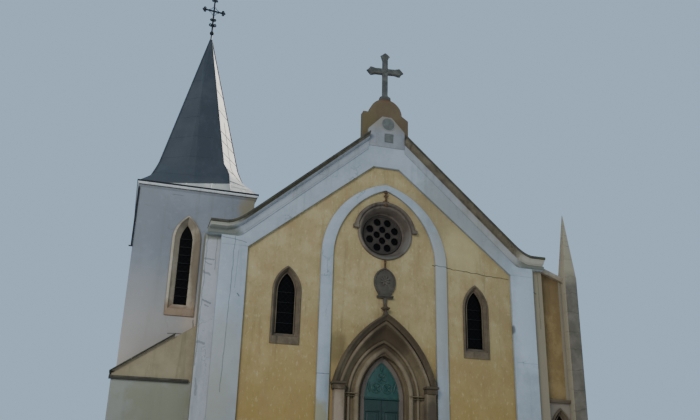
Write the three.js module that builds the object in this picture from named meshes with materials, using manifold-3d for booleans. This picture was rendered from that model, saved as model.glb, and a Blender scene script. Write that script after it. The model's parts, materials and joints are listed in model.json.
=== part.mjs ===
// Gabled church with a corner tower: plastered walls, stone dressings, sheet metal spire.
// Millimetres, +Z up. X runs along the entrance front, +Y runs into the nave.
// The origin is on the ground, on the axis of the entrance, at the plane of the front wall.

import * as THREE from 'three';
import { mergeVertices } from 'three/addons/utils/BufferGeometryUtils.js';
import Module from 'manifold-3d';

const wasm = await Module();
wasm.setup();

// Joints between touching pieces, and how far a cutting solid runs past the piece that it cuts
const gap = 0.3;
const overcut = 10;

// Entrance front
const frontHalfWidth = 6370;
const frontThickness = 900;
const cornerSetBack = 100;
const pilasterInner = 4950;
const pilasterOuter = 5870;
const bandProjection = 120;
const wallSplitHeight = 8080;

// Gable line, measured on top of the coping
const copingHalfLength = 6300;
const copingHeight = 300;
const copingFront = -410;
const gableSlope = 0.885;
const gableTopX = 900;
const gableTopZ = 12895;
const sweepStartX = 5050;
const sweepMiddle = { out: 400, up: 20 };
const sweepEndX = 5750;
const shoulderZ = 8850;

// Yellow field inside the white bands, and the frieze ends over the corners
const fieldApexHalf = 500;
const fieldApexZ = 11730;
const friezeBottom = 8410;
const friezeLap = 50;

// White blind arch
const archOuter = { half: 2362, spring: 8100, apex: 11040 };
const archInner = { half: 1934, spring: 8100, apex: 10820 };
const archProjection = 100;

// Pedestal on the gable: block, gabled plaque, half round top
const pedestal = { half: 915, front: 0, back: 330, seatZ: 12560, topZ: 14040 };
const pedestalWear = { width: 240, drop: 170 };
const plaque = { half: 720, shoulderZ: 13280, topHalf: 190, topZ: 13840, front: -140, back: 20, recess: 50 };
const plaqueRoundel = { x: 50, z: 13480, radius: 150 };
const plaquePanel = { x: 80, half: 170, bottom: 12770, top: 13120 };
const lunette = { half: 655, height: 650, sink: 10 };

// Stone cross on the pedestal
const stoneCross = { shaft: 104, arm: 112, depth: 200, span: 715, armZ: 16000, topZ: 16840, turn: -8 };
const crossFoot = { half: 225, height: 130, taper: 80 };
const crossTip = { half: 165, length: 140, flare: 330 };

// Rose window
const rose = { z: 9190, outer: 1030, inner: 770, depth: 350, lip: 70, sides: 32 };
const roseWallHole = { inset: 30 };
const roseHood = { inner: 10, outer: 130, rise: 15, projection: 150, from: 80 };
const roseHoodStop = { width: 170, bottom: 60, top: 190 };
const roseFinial = { half: 90, projection: 140, bottom: 100, top: 420 };
const tracery = { thickness: 58, cutterSides: 12 };
const outerFoils = { count: 8, radius: 142, ring: 520 };
const innerFoils = { count: 4, radius: 128, ring: 212 };

// Medallion under the rose
const medallion = { z: 7290, projection: 110, sideRadius: 230, sideOffset: 180, endRadius: 270 };
const medallionEnds = { up: 240, down: 210 };
const medallionLedge = { half: 290, projection: 170, bottom: 560, top: 470 };

// Floor and steps
const floorZ = 300;
const topStep = { half: 1700, front: -550 };
const lowStep = { half: 1900, front: -900 };
const stepsBack = -200.5;

// Portal and door. The flanks of the outer arches are flat: their arcs are struck from below the springing
const portalOrders = [
  { half: 1695, spring: 3600, apex: 5950, drop: 1000, front: -200 },
  { half: 1420, spring: 3550, apex: 5580, drop: 600, front: -115 },
  { half: 1160, spring: 3480, apex: 5230, drop: 200, front: -30 },
  { half: 910, spring: 3400, apex: 4920, front: 75 },
];
const doorArch = { half: 686, spring: 3300, apex: 4620 };
const rearReveal = { half: 800, spring: 3300, apex: 4760 };
const hoodOuter = { half: 1825, spring: 3740, apex: 6160, drop: 900 };
const hoodInner = { half: 1697, spring: 3740, apex: 5965, drop: 900 };
const hoodTail = 160;
const hoodProjection = 380;
const hoodFinial = { half: 110, projection: 260, bottom: -60, top: 330 };
const transomZ = 3270;
const leaf = { front: 200, thickness: 70, halfSlot: 3, foot: 8, top: 6 };
const hingeInset = 10;
const pivotLength = 60;

// Lancet windows of the entrance front, the tower and the annex
const lancetDepth = 180;
const lancetProud = 40;
const lancetSplay = { thickness: 160, share: 0.68, middle: 100 };
const glassThickness = 30;
const frontLancet = { half: 505, spring: 6670, apex: 7570, sill: 4870, rim: 190, glassSill: 5250 };
const frontLancetX = 3505;
const towerLancet = { half: 490, spring: 8350, apex: 9260, sill: 5700, rim: 275, glassSill: 6120 };
const towerLancetX = -6950;
const annexLancet = { half: 410, spring: 2650, apex: 3400, sill: 700, rim: 190, glassSill: 1080 };
const annexLancetX = 7030;

// Nave
const naveHalfWidth = 6100;
const naveWall = 650;
const naveLength = 16000;
const roofDrop = 180;
const roofThickness = 220;
const rearOverhang = 150;
const sideWindowYs = [6600, 9700, 12800];
const sideWindow = { half: 450, spring: 5600, apex: 6500, sill: 2600 };
const sideGlassLap = 100;

// Tower and spire
const towerLeft = -8726;
const towerSide = 4042;
const towerFront = frontThickness + gap;
const towerWall = 600;
const towerTop = 10230;
const eaveOverhang = 70;
const spireFoot = 10350;
const spireFlare = [
  { z: 10900, wide: 1740, corner: 2250 },
  { z: 11280, wide: 1570, corner: 1850 },
];
const spireNeck = { z: 11660, wide: 1455, corner: 1621 };
const spireTip = 17920;
const spireShell = 90;
const spireCapHeight = 260;
const eaveLining = 60;

// Iron cross on the spire
const ironCross = { armZ: 19210, halfSpan: 450, halfBar: 25, halfDepth: 22, topZ: 19950 };
const ironFoot = { lowRadius: 75, topRadius: 45, top: 18060 };
const ironMast = { lowRadius: 28, topRadius: 22, bottom: 18100 };
const ironBall = { z: 18120, radius: 125 };

// Left annex wall in front of the tower
const leftAnnex = { left: -8840, front: 350, lowZ: 3620, slope: 0.695 };
const leftRake = { end: -7020, overhang: 70, highThickness: 150, lowThickness: 130, projection: 120 };
const leftLedge = { z: 3450, height: 100, overhang: 60, stop: 100, projection: 80 };

// Right annex beside the front, with the corner pinnacle
const rightAnnex = { front: 500, back: 5000, right: 7900, wall: 450, topZ: 8760, slope: 0.37 };
const rightLedge = { bottom: 3580, top: 3690, inset: 60, projection: 100, stop: 20 };
const annexRoof = { thickness: 200, eave: 150, drop: 60, rearOverhang: 100 };
const annexCopingProjection = 150;
const pier = { x: 7720, y: 460, half: 260, top: 8300, tip: 11190, clearTop: 8420 };

// Materials
function material(color, roughness, metalness = 0) {
  return new THREE.MeshStandardMaterial({ color, roughness, metalness });
}

const yellowPlaster = material(0xb9a064, 0.95);
const whitePlaster = material(0xb9bcc0, 0.95);
const brownStone = material(0x75665a, 0.9);
const paleStone = material(0xa39a86, 0.9);
const greyStone = material(0x8d8a80, 0.9);
const darkCoping = material(0x4a4438, 0.9);
const greenDoor = material(0x3f6f6a, 0.6);
const darkGlass = material(0x20252a, 0.15);
const slateMetal = material(0x4c5663, 0.5, 0.6);
const whiteWood = material(0xd3d2cb, 0.7);
const blackIron = material(0x2a2a2a, 0.5, 0.8);
const roofTile = material(0x8b5a45, 0.85);
const floorStone = material(0x9a948a, 0.8);

// Solids
function solidOf(geometry) {
  const plain = geometry.index ? geometry.toNonIndexed() : geometry.clone();
  plain.deleteAttribute('normal');
  plain.deleteAttribute('uv');
  const merged = mergeVertices(plain, 1e-3);
  const mesh = new wasm.Mesh({
    numProp: 3,
    vertProperties: new Float32Array(merged.attributes.position.array),
    triVerts: new Uint32Array(merged.index.array),
  });
  return new wasm.Manifold(mesh);
}

function geometryOf(solid) {
  const mesh = solid.getMesh();
  const geometry = new THREE.BufferGeometry();
  geometry.setAttribute('position', new THREE.BufferAttribute(new Float32Array(mesh.vertProperties), 3));
  geometry.setIndex(new THREE.BufferAttribute(new Uint32Array(mesh.triVerts), 1));
  geometry.computeVertexNormals();
  return geometry;
}

function join(...solids) {
  return solids.reduce((sum, next) => sum.add(next));
}

function cut(solid, ...tools) {
  return tools.reduce((rest, tool) => rest.subtract(tool), solid);
}

function mirror(solid) {
  return solid.mirror([1, 0, 0]);
}

function box(x0, x1, y0, y1, z0, z1) {
  const geometry = new THREE.BoxGeometry(x1 - x0, y1 - y0, z1 - z0);
  geometry.translate((x0 + x1) / 2, (y0 + y1) / 2, (z0 + z1) / 2);
  return solidOf(geometry);
}

function outline(points) {
  return new THREE.Shape(points.map(([a, b]) => new THREE.Vector2(a, b)));
}

// A shape drawn in X and Z, standing between two Y planes
function standing(shape, front, back, curveSegments = 6) {
  const settings = { depth: back - front, bevelEnabled: false, curveSegments };
  const geometry = new THREE.ExtrudeGeometry(shape, settings);
  geometry.rotateX(Math.PI / 2);
  geometry.translate(0, back, 0);
  return solidOf(geometry);
}

// A shape drawn in Y and Z, standing between two X planes
function standingAcross(shape, left, right, curveSegments = 6) {
  const settings = { depth: right - left, bevelEnabled: false, curveSegments };
  const geometry = new THREE.ExtrudeGeometry(shape, settings);
  const axes = new THREE.Matrix4().makeBasis(
    new THREE.Vector3(0, 1, 0),
    new THREE.Vector3(0, 0, 1),
    new THREE.Vector3(1, 0, 0),
  );
  geometry.applyMatrix4(axes);
  geometry.translate(left, 0, 0);
  return solidOf(geometry);
}

// A shape drawn in X and Y, lying between two heights
function lying(shape, bottom, top) {
  const geometry = new THREE.ExtrudeGeometry(shape, { depth: top - bottom, bevelEnabled: false });
  geometry.translate(0, 0, bottom);
  return solidOf(geometry);
}

function rodAlongY(x, z, radius, front, back, sides = 16) {
  const geometry = new THREE.CylinderGeometry(radius, radius, back - front, sides);
  geometry.translate(x, (front + back) / 2, z);
  return solidOf(geometry);
}

// Pointed arch on straight jambs: half width, springing height, apex height and foot. Its two arcs are
// struck from the springing, or from a level that lies lower by the drop
function pointedShape({ half, spring, apex, drop = 0 }, foot, centreX = 0) {
  const rise = apex - spring + drop;
  const across = (rise * rise - half * half - drop * drop) / (2 * half);
  const radius = Math.hypot(half + across, drop);
  const low = Math.atan2(drop, half + across);
  const high = Math.atan2(rise, across);
  const shape = new THREE.Shape();
  shape.moveTo(centreX - half, foot);
  shape.lineTo(centreX + half, foot);
  shape.lineTo(centreX + half, spring);
  shape.absarc(centreX - across, spring - drop, radius, low, high, false);
  shape.absarc(centreX + across, spring - drop, radius, Math.PI - high, Math.PI - low, false);
  shape.closePath();
  return shape;
}

// The same arch grown on all sides; a steep apex rises a little more than the sides spread
function grown(arch, by) {
  const apexShare = 1.15;
  return { ...arch, half: arch.half + by, apex: arch.apex + by * apexShare };
}

// A lancet frame with splayed sides, its rim in front and its glass seat behind
function lancetFrame(arch, centreX, wallFront) {
  const front = wallFront - lancetProud;
  const back = wallFront + lancetDepth;
  const throatShape = pointedShape(grown(arch, -arch.rim), arch.glassSill, centreX);
  const splay = new THREE.ExtrudeGeometry(throatShape, {
    depth: lancetSplay.middle,
    bevelEnabled: true,
    bevelThickness: lancetSplay.thickness,
    bevelSize: arch.rim * lancetSplay.share,
    bevelSegments: 1,
    curveSegments: 6,
  });
  splay.rotateX(Math.PI / 2);
  splay.translate(0, wallFront, 0);
  return cut(
    standing(pointedShape(arch, arch.sill, centreX), front, back),
    standing(throatShape, front - overcut, back + overcut),
    solidOf(splay),
  );
}

function lancetHole(arch, centreX, front, back) {
  return standing(pointedShape(grown(arch, gap), arch.sill - gap, centreX), front - overcut, back + overcut);
}

function lancetGlass(arch, centreX, wallFront) {
  const pane = grown(arch, -2 * gap);
  const seat = wallFront + lancetDepth + gap;
  return standing(pointedShape(pane, arch.sill + gap, centreX), seat, seat + glassThickness);
}

// The gable line from the middle outwards, lowered by some amount
function gableLine(drop, innerX, outerX) {
  const topAt = (x) => gableTopZ - (x - gableTopX) * gableSlope - drop;
  const sweep = new THREE.QuadraticBezierCurve(
    new THREE.Vector2(sweepStartX, topAt(sweepStartX)),
    new THREE.Vector2(sweepStartX + sweepMiddle.out, shoulderZ - drop + sweepMiddle.up),
    new THREE.Vector2(sweepEndX, shoulderZ - drop),
  );
  const sweepPoints = sweep.getPoints(5).map((point) => [point.x, point.y]);
  return [[innerX, topAt(innerX)], ...sweepPoints, [outerX, shoulderZ - drop]];
}

function mirrored(points) {
  return points.map(([x, z]) => [-x, z]).reverse();
}

// A line that starts on the middle axis, with its mirror image before it
function bothSides(line) {
  return [...mirrored(line.slice(1)), ...line];
}

const group = new THREE.Group();

function place(name, solid, look) {
  const mesh = new THREE.Mesh(geometryOf(solid), look);
  mesh.name = name;
  group.add(mesh);
}

// Places shared by several pieces
const towerRight = towerLeft + towerSide;
const towerBack = towerFront + towerSide;
const towerCentre = { x: towerLeft + towerSide / 2, y: towerFront + towerSide / 2 };
const naveInside = naveHalfWidth - naveWall;
const backWallFront = naveLength - naveWall;
const naveWallTop = shoulderZ - roofDrop - roofThickness;
const wallLineDrop = copingHeight + gap;
const plaqueSeatHalf = plaque.half + gap;

function towerHollow(bottom, top) {
  return box(
    towerLeft + towerWall, towerRight - towerWall,
    towerFront + towerWall, towerBack - towerWall, bottom, top,
  );
}

// What the nave's floor and roof leave free for the tower
const towerClearance = box(
  towerLeft - gap, towerRight + gap, frontThickness - overcut, towerBack + gap, -overcut, spireTip,
);

// Floor and steps
const threshold = box(
  -doorArch.half + gap, doorArch.half - gap, stepsBack - overcut, frontThickness - gap, 0, floorZ,
);
place(
  'door_steps',
  join(
    threshold,
    box(-topStep.half, topStep.half, topStep.front, stepsBack, 0, floorZ),
    box(-lowStep.half, lowStep.half, lowStep.front, stepsBack, 0, floorZ / 2),
  ),
  floorStone,
);

const naveSlab = box(
  -naveInside + gap, naveInside - gap, frontThickness + gap, backWallFront - gap, 0, floorZ,
);
place('nave_floor', cut(naveSlab, towerClearance), floorStone);

// Entrance front: two slabs beside the portal, the piece over it, and the gable
const portalHalf = portalOrders[0].half;
const frontPlan = outline([
  [portalHalf + gap, 0],
  [pilasterOuter, 0],
  [pilasterOuter, cornerSetBack],
  [frontHalfWidth, cornerSetBack],
  [frontHalfWidth, frontThickness],
  [portalHalf + gap, frontThickness],
]);
const frontSlab = cut(
  lying(frontPlan, 0, wallSplitHeight - gap),
  lancetHole(frontLancet, frontLancetX, 0, frontThickness),
);
place('front_wall_right', frontSlab, yellowPlaster);
place('front_wall_left', mirror(frontSlab), yellowPlaster);

const overDoor = cut(
  box(-portalHalf, portalHalf, 0, frontThickness, portalOrders[0].spring + gap, wallSplitHeight - gap),
  standing(pointedShape(grown(portalOrders[0], gap), 0), -overcut, frontThickness + overcut),
);
place('front_wall_over_door', overDoor, yellowPlaster);

const gableOutline = outline([
  [-frontHalfWidth, wallSplitHeight],
  [frontHalfWidth, wallSplitHeight],
  ...bothSides(gableLine(wallLineDrop, 0, frontHalfWidth)).reverse(),
]);
const cornerNotch = box(
  pilasterOuter, frontHalfWidth + overcut, -overcut, cornerSetBack, wallSplitHeight - overcut, shoulderZ,
);
const pedestalSeat = box(
  -pedestal.half - gap, pedestal.half + gap, -overcut, pedestal.back + gap, pedestal.seatZ, pedestal.topZ,
);
const roseHole = rodAlongY(
  0, rose.z, rose.outer - roseWallHole.inset + gap, -overcut, frontThickness + overcut, rose.sides,
);
const gableWall = cut(
  standing(gableOutline, 0, frontThickness),
  cornerNotch,
  mirror(cornerNotch),
  pedestalSeat,
  roseHole,
);
place('gable_wall', gableWall, yellowPlaster);

// White bands raised on the front
const strip = box(pilasterInner, pilasterOuter, -bandProjection, -gap, 0, wallSplitHeight - gap);
place('corner_pilaster_right', strip, whitePlaster);
place('corner_pilaster_left', mirror(strip), whitePlaster);

const bandLine = gableLine(wallLineDrop, plaqueSeatHalf, pilasterOuter).reverse();
const bandOutline = outline([
  [-pilasterOuter, wallSplitHeight],
  [-pilasterInner, wallSplitHeight],
  [-fieldApexHalf, fieldApexZ],
  [fieldApexHalf, fieldApexZ],
  [pilasterInner, wallSplitHeight],
  [pilasterOuter, wallSplitHeight],
  ...bandLine,
  [plaqueSeatHalf, pedestal.seatZ],
  [-plaqueSeatHalf, pedestal.seatZ],
  ...mirrored(bandLine),
]);
const friezeTop = shoulderZ - wallLineDrop;
const friezeEnd = cut(
  box(
    pilasterOuter - friezeLap, frontHalfWidth, -bandProjection, cornerSetBack - gap,
    friezeBottom, friezeTop,
  ),
  box(
    pilasterOuter - friezeLap - overcut, pilasterOuter + gap, -gap, cornerSetBack,
    friezeBottom - overcut, friezeTop + overcut,
  ),
);
place(
  'gable_band',
  join(standing(bandOutline, -bandProjection, -gap), friezeEnd, mirror(friezeEnd)),
  whitePlaster,
);

const archBand = cut(
  standing(pointedShape(archOuter, 0), -archProjection, -gap, 10),
  standing(pointedShape(archInner, -overcut), -archProjection - overcut, overcut, 10),
);
place('arch_band', archBand, whitePlaster);

// Coping stones along the gable: they meet behind the pedestal and end at its plaque in front
const copingTop = gableLine(0, gap, copingHalfLength);
const copingUnder = gableLine(copingHeight, gap, copingHalfLength).reverse();
const copingRight = cut(
  standing(outline([...copingTop, ...copingUnder]), copingFront, frontThickness),
  box(0, pedestal.half + gap, pedestal.front - gap, pedestal.back + gap, pedestal.seatZ, pedestal.topZ),
  box(0, plaqueSeatHalf, copingFront - overcut, pedestal.back, pedestal.seatZ, pedestal.topZ),
);
place('gable_coping_right', copingRight, darkCoping);
place('gable_coping_left', mirror(copingRight), darkCoping);

// Pedestal and stone cross on the gable
const pedestalMiddleY = (pedestal.front + pedestal.back) / 2;
const lunetteFoot = pedestal.topZ - lunette.sink;
const lunetteShape = new THREE.Shape();
lunetteShape.absellipse(0, lunetteFoot, lunette.half, lunette.height, 0, Math.PI);
lunetteShape.closePath();
const recessBottom = plaque.front + plaque.recess;
const plaqueSolid = cut(
  standing(
    outline([
      [-plaque.half, pedestal.seatZ + gap],
      [plaque.half, pedestal.seatZ + gap],
      [plaque.half, plaque.shoulderZ],
      [plaque.topHalf, plaque.topZ],
      [-plaque.topHalf, plaque.topZ],
      [-plaque.half, plaque.shoulderZ],
    ]),
    plaque.front, plaque.back,
  ),
  rodAlongY(plaqueRoundel.x, plaqueRoundel.z, plaqueRoundel.radius, plaque.front - overcut, recessBottom),
  box(
    plaquePanel.x - plaquePanel.half, plaquePanel.x + plaquePanel.half,
    plaque.front - overcut, recessBottom, plaquePanel.bottom, plaquePanel.top,
  ),
);
const pedestalBlock = standing(
  outline([
    [-pedestal.half, pedestal.seatZ + gap],
    [pedestal.half, pedestal.seatZ + gap],
    [pedestal.half, pedestal.topZ - pedestalWear.drop],
    [pedestal.half - pedestalWear.width, pedestal.topZ],
    [-pedestal.half, pedestal.topZ],
  ]),
  pedestal.front, pedestal.back,
);
const lunetteSolid = standing(lunetteShape, pedestal.front, pedestal.back, 10);
place('gable_pedestal', join(pedestalBlock, lunetteSolid, plaqueSolid), paleStone);

const crossFootZ = lunetteFoot + lunette.height + gap;
const armLow = stoneCross.armZ - stoneCross.arm;
const armHigh = stoneCross.armZ + stoneCross.arm;
const crossSide = [
  [crossFoot.half, crossFootZ],
  [crossFoot.half, crossFootZ + crossFoot.height],
  [stoneCross.shaft, crossFootZ + crossFoot.height + crossFoot.taper],
  [stoneCross.shaft, armLow],
  [stoneCross.span - crossTip.flare, armLow],
  [stoneCross.span - crossTip.length, stoneCross.armZ - crossTip.half],
  [stoneCross.span, stoneCross.armZ],
  [stoneCross.span - crossTip.length, stoneCross.armZ + crossTip.half],
  [stoneCross.span - crossTip.flare, armHigh],
  [stoneCross.shaft, armHigh],
  [stoneCross.shaft, stoneCross.topZ - crossTip.flare],
  [crossTip.half, stoneCross.topZ - crossTip.length],
];
const crossOutline = outline([...crossSide, [0, stoneCross.topZ], ...mirrored(crossSide)]);
const crossSolid = standing(crossOutline, -stoneCross.depth / 2, stoneCross.depth / 2)
  .rotate([0, 0, stoneCross.turn])
  .translate([0, pedestalMiddleY, 0]);
place('gable_cross', crossSolid, greyStone);

// Rose window: splayed stone ring with a hood, tracery and glass
const roseSeat = rose.outer - roseWallHole.inset;
const roseProfile = [
  [rose.inner, rose.depth],
  [rose.inner, rose.depth - tracery.thickness],
  [rose.outer - 3 * roseWallHole.inset, -rose.lip],
  [rose.outer + roseHood.inner, -rose.lip],
  [rose.outer + roseHood.inner, -gap],
  [roseSeat, -gap],
  [roseSeat, rose.depth],
  [rose.inner, rose.depth],
];
const roseRing = new THREE.LatheGeometry(roseProfile.map(([r, y]) => new THREE.Vector2(r, y)), rose.sides);
roseRing.translate(0, 0, rose.z);
const hoodRing = cut(
  rodAlongY(0, rose.z + roseHood.rise, rose.outer + roseHood.outer, -roseHood.projection, -gap, rose.sides),
  rodAlongY(0, rose.z, rose.outer, -roseHood.projection - overcut, overcut, rose.sides),
  box(
    -2 * rose.outer, 2 * rose.outer, -roseHood.projection - overcut, overcut,
    rose.z - 2 * rose.outer, rose.z + roseHood.from,
  ),
);
const hoodStop = box(
  rose.outer, rose.outer + roseHoodStop.width, -roseHood.projection, -gap,
  rose.z + roseHoodStop.bottom, rose.z + roseHoodStop.top,
);
const roseLeaf = box(
  -roseFinial.half, roseFinial.half, -roseFinial.projection, -gap,
  rose.z + rose.outer + roseFinial.bottom, rose.z + rose.outer + roseFinial.top,
);
place(
  'rose_frame',
  join(solidOf(roseRing), hoodRing, hoodStop, mirror(hoodStop), roseLeaf),
  brownStone,
);

const traceryFront = rose.depth - tracery.thickness + gap;
function foilHoles({ count, radius, ring }, turn) {
  return Array.from({ length: count }, (_, foil) => {
    const angle = ((foil + turn) / count) * 2 * Math.PI;
    const x = Math.cos(angle) * ring;
    const z = rose.z + Math.sin(angle) * ring;
    return rodAlongY(x, z, radius, traceryFront - overcut, rose.depth + overcut, tracery.cutterSides);
  });
}
const traceryDisc = rodAlongY(0, rose.z, rose.inner - gap, traceryFront, rose.depth, rose.sides);
const foils = [...foilHoles(outerFoils, 0.5), ...foilHoles(innerFoils, 0)];
place('rose_tracery', cut(traceryDisc, ...foils), brownStone);
place(
  'rose_glass',
  rodAlongY(
    0, rose.z, roseSeat - overcut, rose.depth + gap, rose.depth + gap + glassThickness, rose.sides,
  ),
  darkGlass,
);

// Medallion between rose and portal
function medallionDisc(x, z, radius) {
  return rodAlongY(x, medallion.z + z, radius, -medallion.projection, -gap);
}
const medallionSolid = join(
  medallionDisc(0, medallionEnds.up, medallion.endRadius),
  medallionDisc(-medallion.sideOffset, 0, medallion.sideRadius),
  medallionDisc(medallion.sideOffset, 0, medallion.sideRadius),
  medallionDisc(0, -medallionEnds.down, medallion.endRadius),
  box(
    -medallionLedge.half, medallionLedge.half, -medallionLedge.projection, -gap,
    medallion.z - medallionLedge.bottom, medallion.z - medallionLedge.top,
  ),
);
place('medallion', medallionSolid, greyStone);

// Portal: stepped orders, hood with finial, fixed tympanum, two leaves
const leafBack = leaf.front + leaf.thickness;
const orderCuts = portalOrders.slice(1).map(
  (order) => standing(pointedShape(order, -overcut), copingFront, order.front),
);
const surround = cut(
  standing(pointedShape(portalOrders[0], 0), portalOrders[0].front, frontThickness),
  ...orderCuts,
  standing(pointedShape(doorArch, -overcut), copingFront, frontThickness + overcut),
  standing(pointedShape(rearReveal, floorZ), leafBack + overcut, frontThickness + overcut),
);
place('portal_surround', surround, brownStone);

const hood = join(
  cut(
    standing(pointedShape(hoodOuter, hoodOuter.spring - hoodTail), -hoodProjection, -gap, 8),
    standing(pointedShape(hoodInner, 0), -hoodProjection - overcut, overcut, 8),
  ),
  box(
    -hoodFinial.half, hoodFinial.half, -hoodFinial.projection, -gap,
    hoodOuter.apex + hoodFinial.bottom, hoodOuter.apex + hoodFinial.top,
  ),
);
place('portal_hood', hood, brownStone);
place(
  'door_tympanum',
  standing(pointedShape(grown(doorArch, -gap), transomZ), leaf.front, leafBack),
  greenDoor,
);

const leafHalf = doorArch.half - hingeInset;
const pivot = new THREE.CylinderGeometry(hingeInset, hingeInset, pivotLength, 12);
pivot.rotateX(Math.PI / 2);
pivot.translate(leafHalf - hingeInset, leafBack - hingeInset, floorZ + gap + pivotLength / 2);
const leafRight = join(
  box(leaf.halfSlot, leafHalf, leaf.front, leafBack, floorZ + leaf.foot, transomZ - leaf.top),
  solidOf(pivot),
);
place('door_leaf_right', leafRight, greenDoor);
place('door_leaf_left', mirror(leafRight), greenDoor);

// Lancet frames and glass of the front
for (const [side, x] of [['right', frontLancetX], ['left', -frontLancetX]]) {
  place(`window_frame_${side}`, lancetFrame(frontLancet, x, 0), brownStone);
  place(`window_glass_${side}`, lancetGlass(frontLancet, x, 0), darkGlass);
}

// Nave walls with lancets
function sideHoles(left, right) {
  return sideWindowYs.map(
    (y) => standingAcross(pointedShape(sideWindow, sideWindow.sill, y), left - overcut, right + overcut),
  );
}
const rightWall = cut(
  box(naveInside, naveHalfWidth, frontThickness + gap, backWallFront - gap, 0, naveWallTop - gap),
  ...sideHoles(naveInside, naveHalfWidth),
);
place('nave_wall_right', rightWall, yellowPlaster);
const leftWall = cut(
  box(-naveHalfWidth, -naveInside, towerBack + gap, backWallFront - gap, 0, naveWallTop - gap),
  ...sideHoles(-naveHalfWidth, -naveInside),
);
place('nave_wall_left', leftWall, yellowPlaster);

const sideGlass = box(
  naveInside - gap - glassThickness,
  naveInside - gap,
  sideWindowYs[0] - sideWindow.half - sideGlassLap,
  sideWindowYs[sideWindowYs.length - 1] + sideWindow.half + sideGlassLap,
  sideWindow.sill - sideGlassLap,
  sideWindow.apex + sideGlassLap,
);
place('nave_glass_right', sideGlass, darkGlass);
place('nave_glass_left', mirror(sideGlass), darkGlass);

// Roof and back wall
const roofShape = outline([
  ...bothSides(gableLine(roofDrop, 0, frontHalfWidth)),
  ...bothSides(gableLine(roofDrop + roofThickness, 0, frontHalfWidth)).reverse(),
]);
const roof = cut(standing(roofShape, frontThickness + gap, naveLength + rearOverhang), towerClearance);
place('nave_roof', roof, roofTile);

const backShape = outline([
  [-naveHalfWidth, 0],
  [naveHalfWidth, 0],
  ...bothSides(gableLine(roofDrop + roofThickness + gap, 0, naveHalfWidth)).reverse(),
]);
place('back_wall', standing(backShape, backWallFront, naveLength), yellowPlaster);

// Tower: a square shaft with its lancet and eave boards
const towerShaft = cut(
  box(towerLeft, towerRight, towerFront, towerBack, 0, towerTop),
  towerHollow(-overcut, towerTop + overcut),
  lancetHole(towerLancet, towerLancetX, towerFront, towerFront + towerWall),
);
place('tower_shaft', towerShaft, whitePlaster);
place('tower_window_frame', lancetFrame(towerLancet, towerLancetX, towerFront), paleStone);
place('tower_window_glass', lancetGlass(towerLancet, towerLancetX, towerFront), darkGlass);

const eaveBoards = cut(
  box(
    towerLeft - eaveOverhang, towerRight + eaveOverhang, towerFront - eaveOverhang,
    towerBack + eaveOverhang, towerTop + gap, spireFoot,
  ),
  towerHollow(towerTop - overcut, spireFoot + overcut),
);
place('tower_eave', eaveBoards, whiteWood);

// Spire: a square foot flares up into eight faces, four wide ones and four corner ones
const footHalf = towerSide / 2 + eaveOverhang;
const footLevel = { z: spireFoot + gap, wide: footHalf, corner: footHalf * Math.SQRT2 };
const spireLevels = [footLevel, ...spireFlare, spireNeck];

function foursided(profile, phiStart) {
  const points = profile.map(([distance, z]) => new THREE.Vector2(distance * Math.SQRT2, z));
  const geometry = new THREE.LatheGeometry(points, 4, phiStart);
  geometry.rotateX(Math.PI / 2);
  geometry.translate(towerCentre.x, towerCentre.y, 0);
  return solidOf(geometry);
}

function spireBody(inset, foot) {
  const tipZ = spireTip - (inset * (spireTip - spireNeck.z)) / spireNeck.wide;
  const faces = (side) => [
    [0, foot],
    [spireLevels[0][side] - inset, foot],
    ...spireLevels.slice(1).map((level) => [level[side] - inset, level.z]),
    [0, tipZ],
  ];
  return foursided(faces('wide'), Math.PI / 4).intersect(foursided(faces('corner'), 0));
}

function spireSlice(bottom, top) {
  return box(
    towerLeft - frontThickness, towerRight + frontThickness, 0, towerBack + frontThickness, bottom, top,
  );
}

const spireShellSolid = cut(
  spireBody(0, footLevel.z),
  spireBody(spireShell, spireFoot),
  towerHollow(spireFoot, spireFoot + eaveLining),
);
const spireTopZ = spireTip - spireCapHeight;
place('spire_skirt', spireShellSolid.intersect(spireSlice(spireFoot, spireNeck.z - gap)), slateMetal);
place('spire_roof', spireShellSolid.intersect(spireSlice(spireNeck.z, spireTopZ)), slateMetal);

// Iron cross on its ball
function mast(lowRadius, topRadius, low, top) {
  const geometry = new THREE.CylinderGeometry(topRadius, lowRadius, top - low, 10);
  geometry.rotateX(Math.PI / 2);
  geometry.translate(towerCentre.x, towerCentre.y, (low + top) / 2);
  return solidOf(geometry);
}
const ball = new THREE.SphereGeometry(ironBall.radius, 12, 8);
ball.translate(towerCentre.x, towerCentre.y, ironBall.z);
const ironArm = box(
  towerCentre.x - ironCross.halfSpan, towerCentre.x + ironCross.halfSpan,
  towerCentre.y - ironCross.halfDepth, towerCentre.y + ironCross.halfDepth,
  ironCross.armZ - ironCross.halfBar, ironCross.armZ + ironCross.halfBar,
);
place(
  'spire_cross',
  join(
    mast(ironFoot.lowRadius, ironFoot.topRadius, spireTopZ + gap, ironFoot.top),
    solidOf(ball),
    mast(ironMast.lowRadius, ironMast.topRadius, ironMast.bottom, ironCross.topZ),
    ironArm,
  ),
  blackIron,
);

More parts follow.
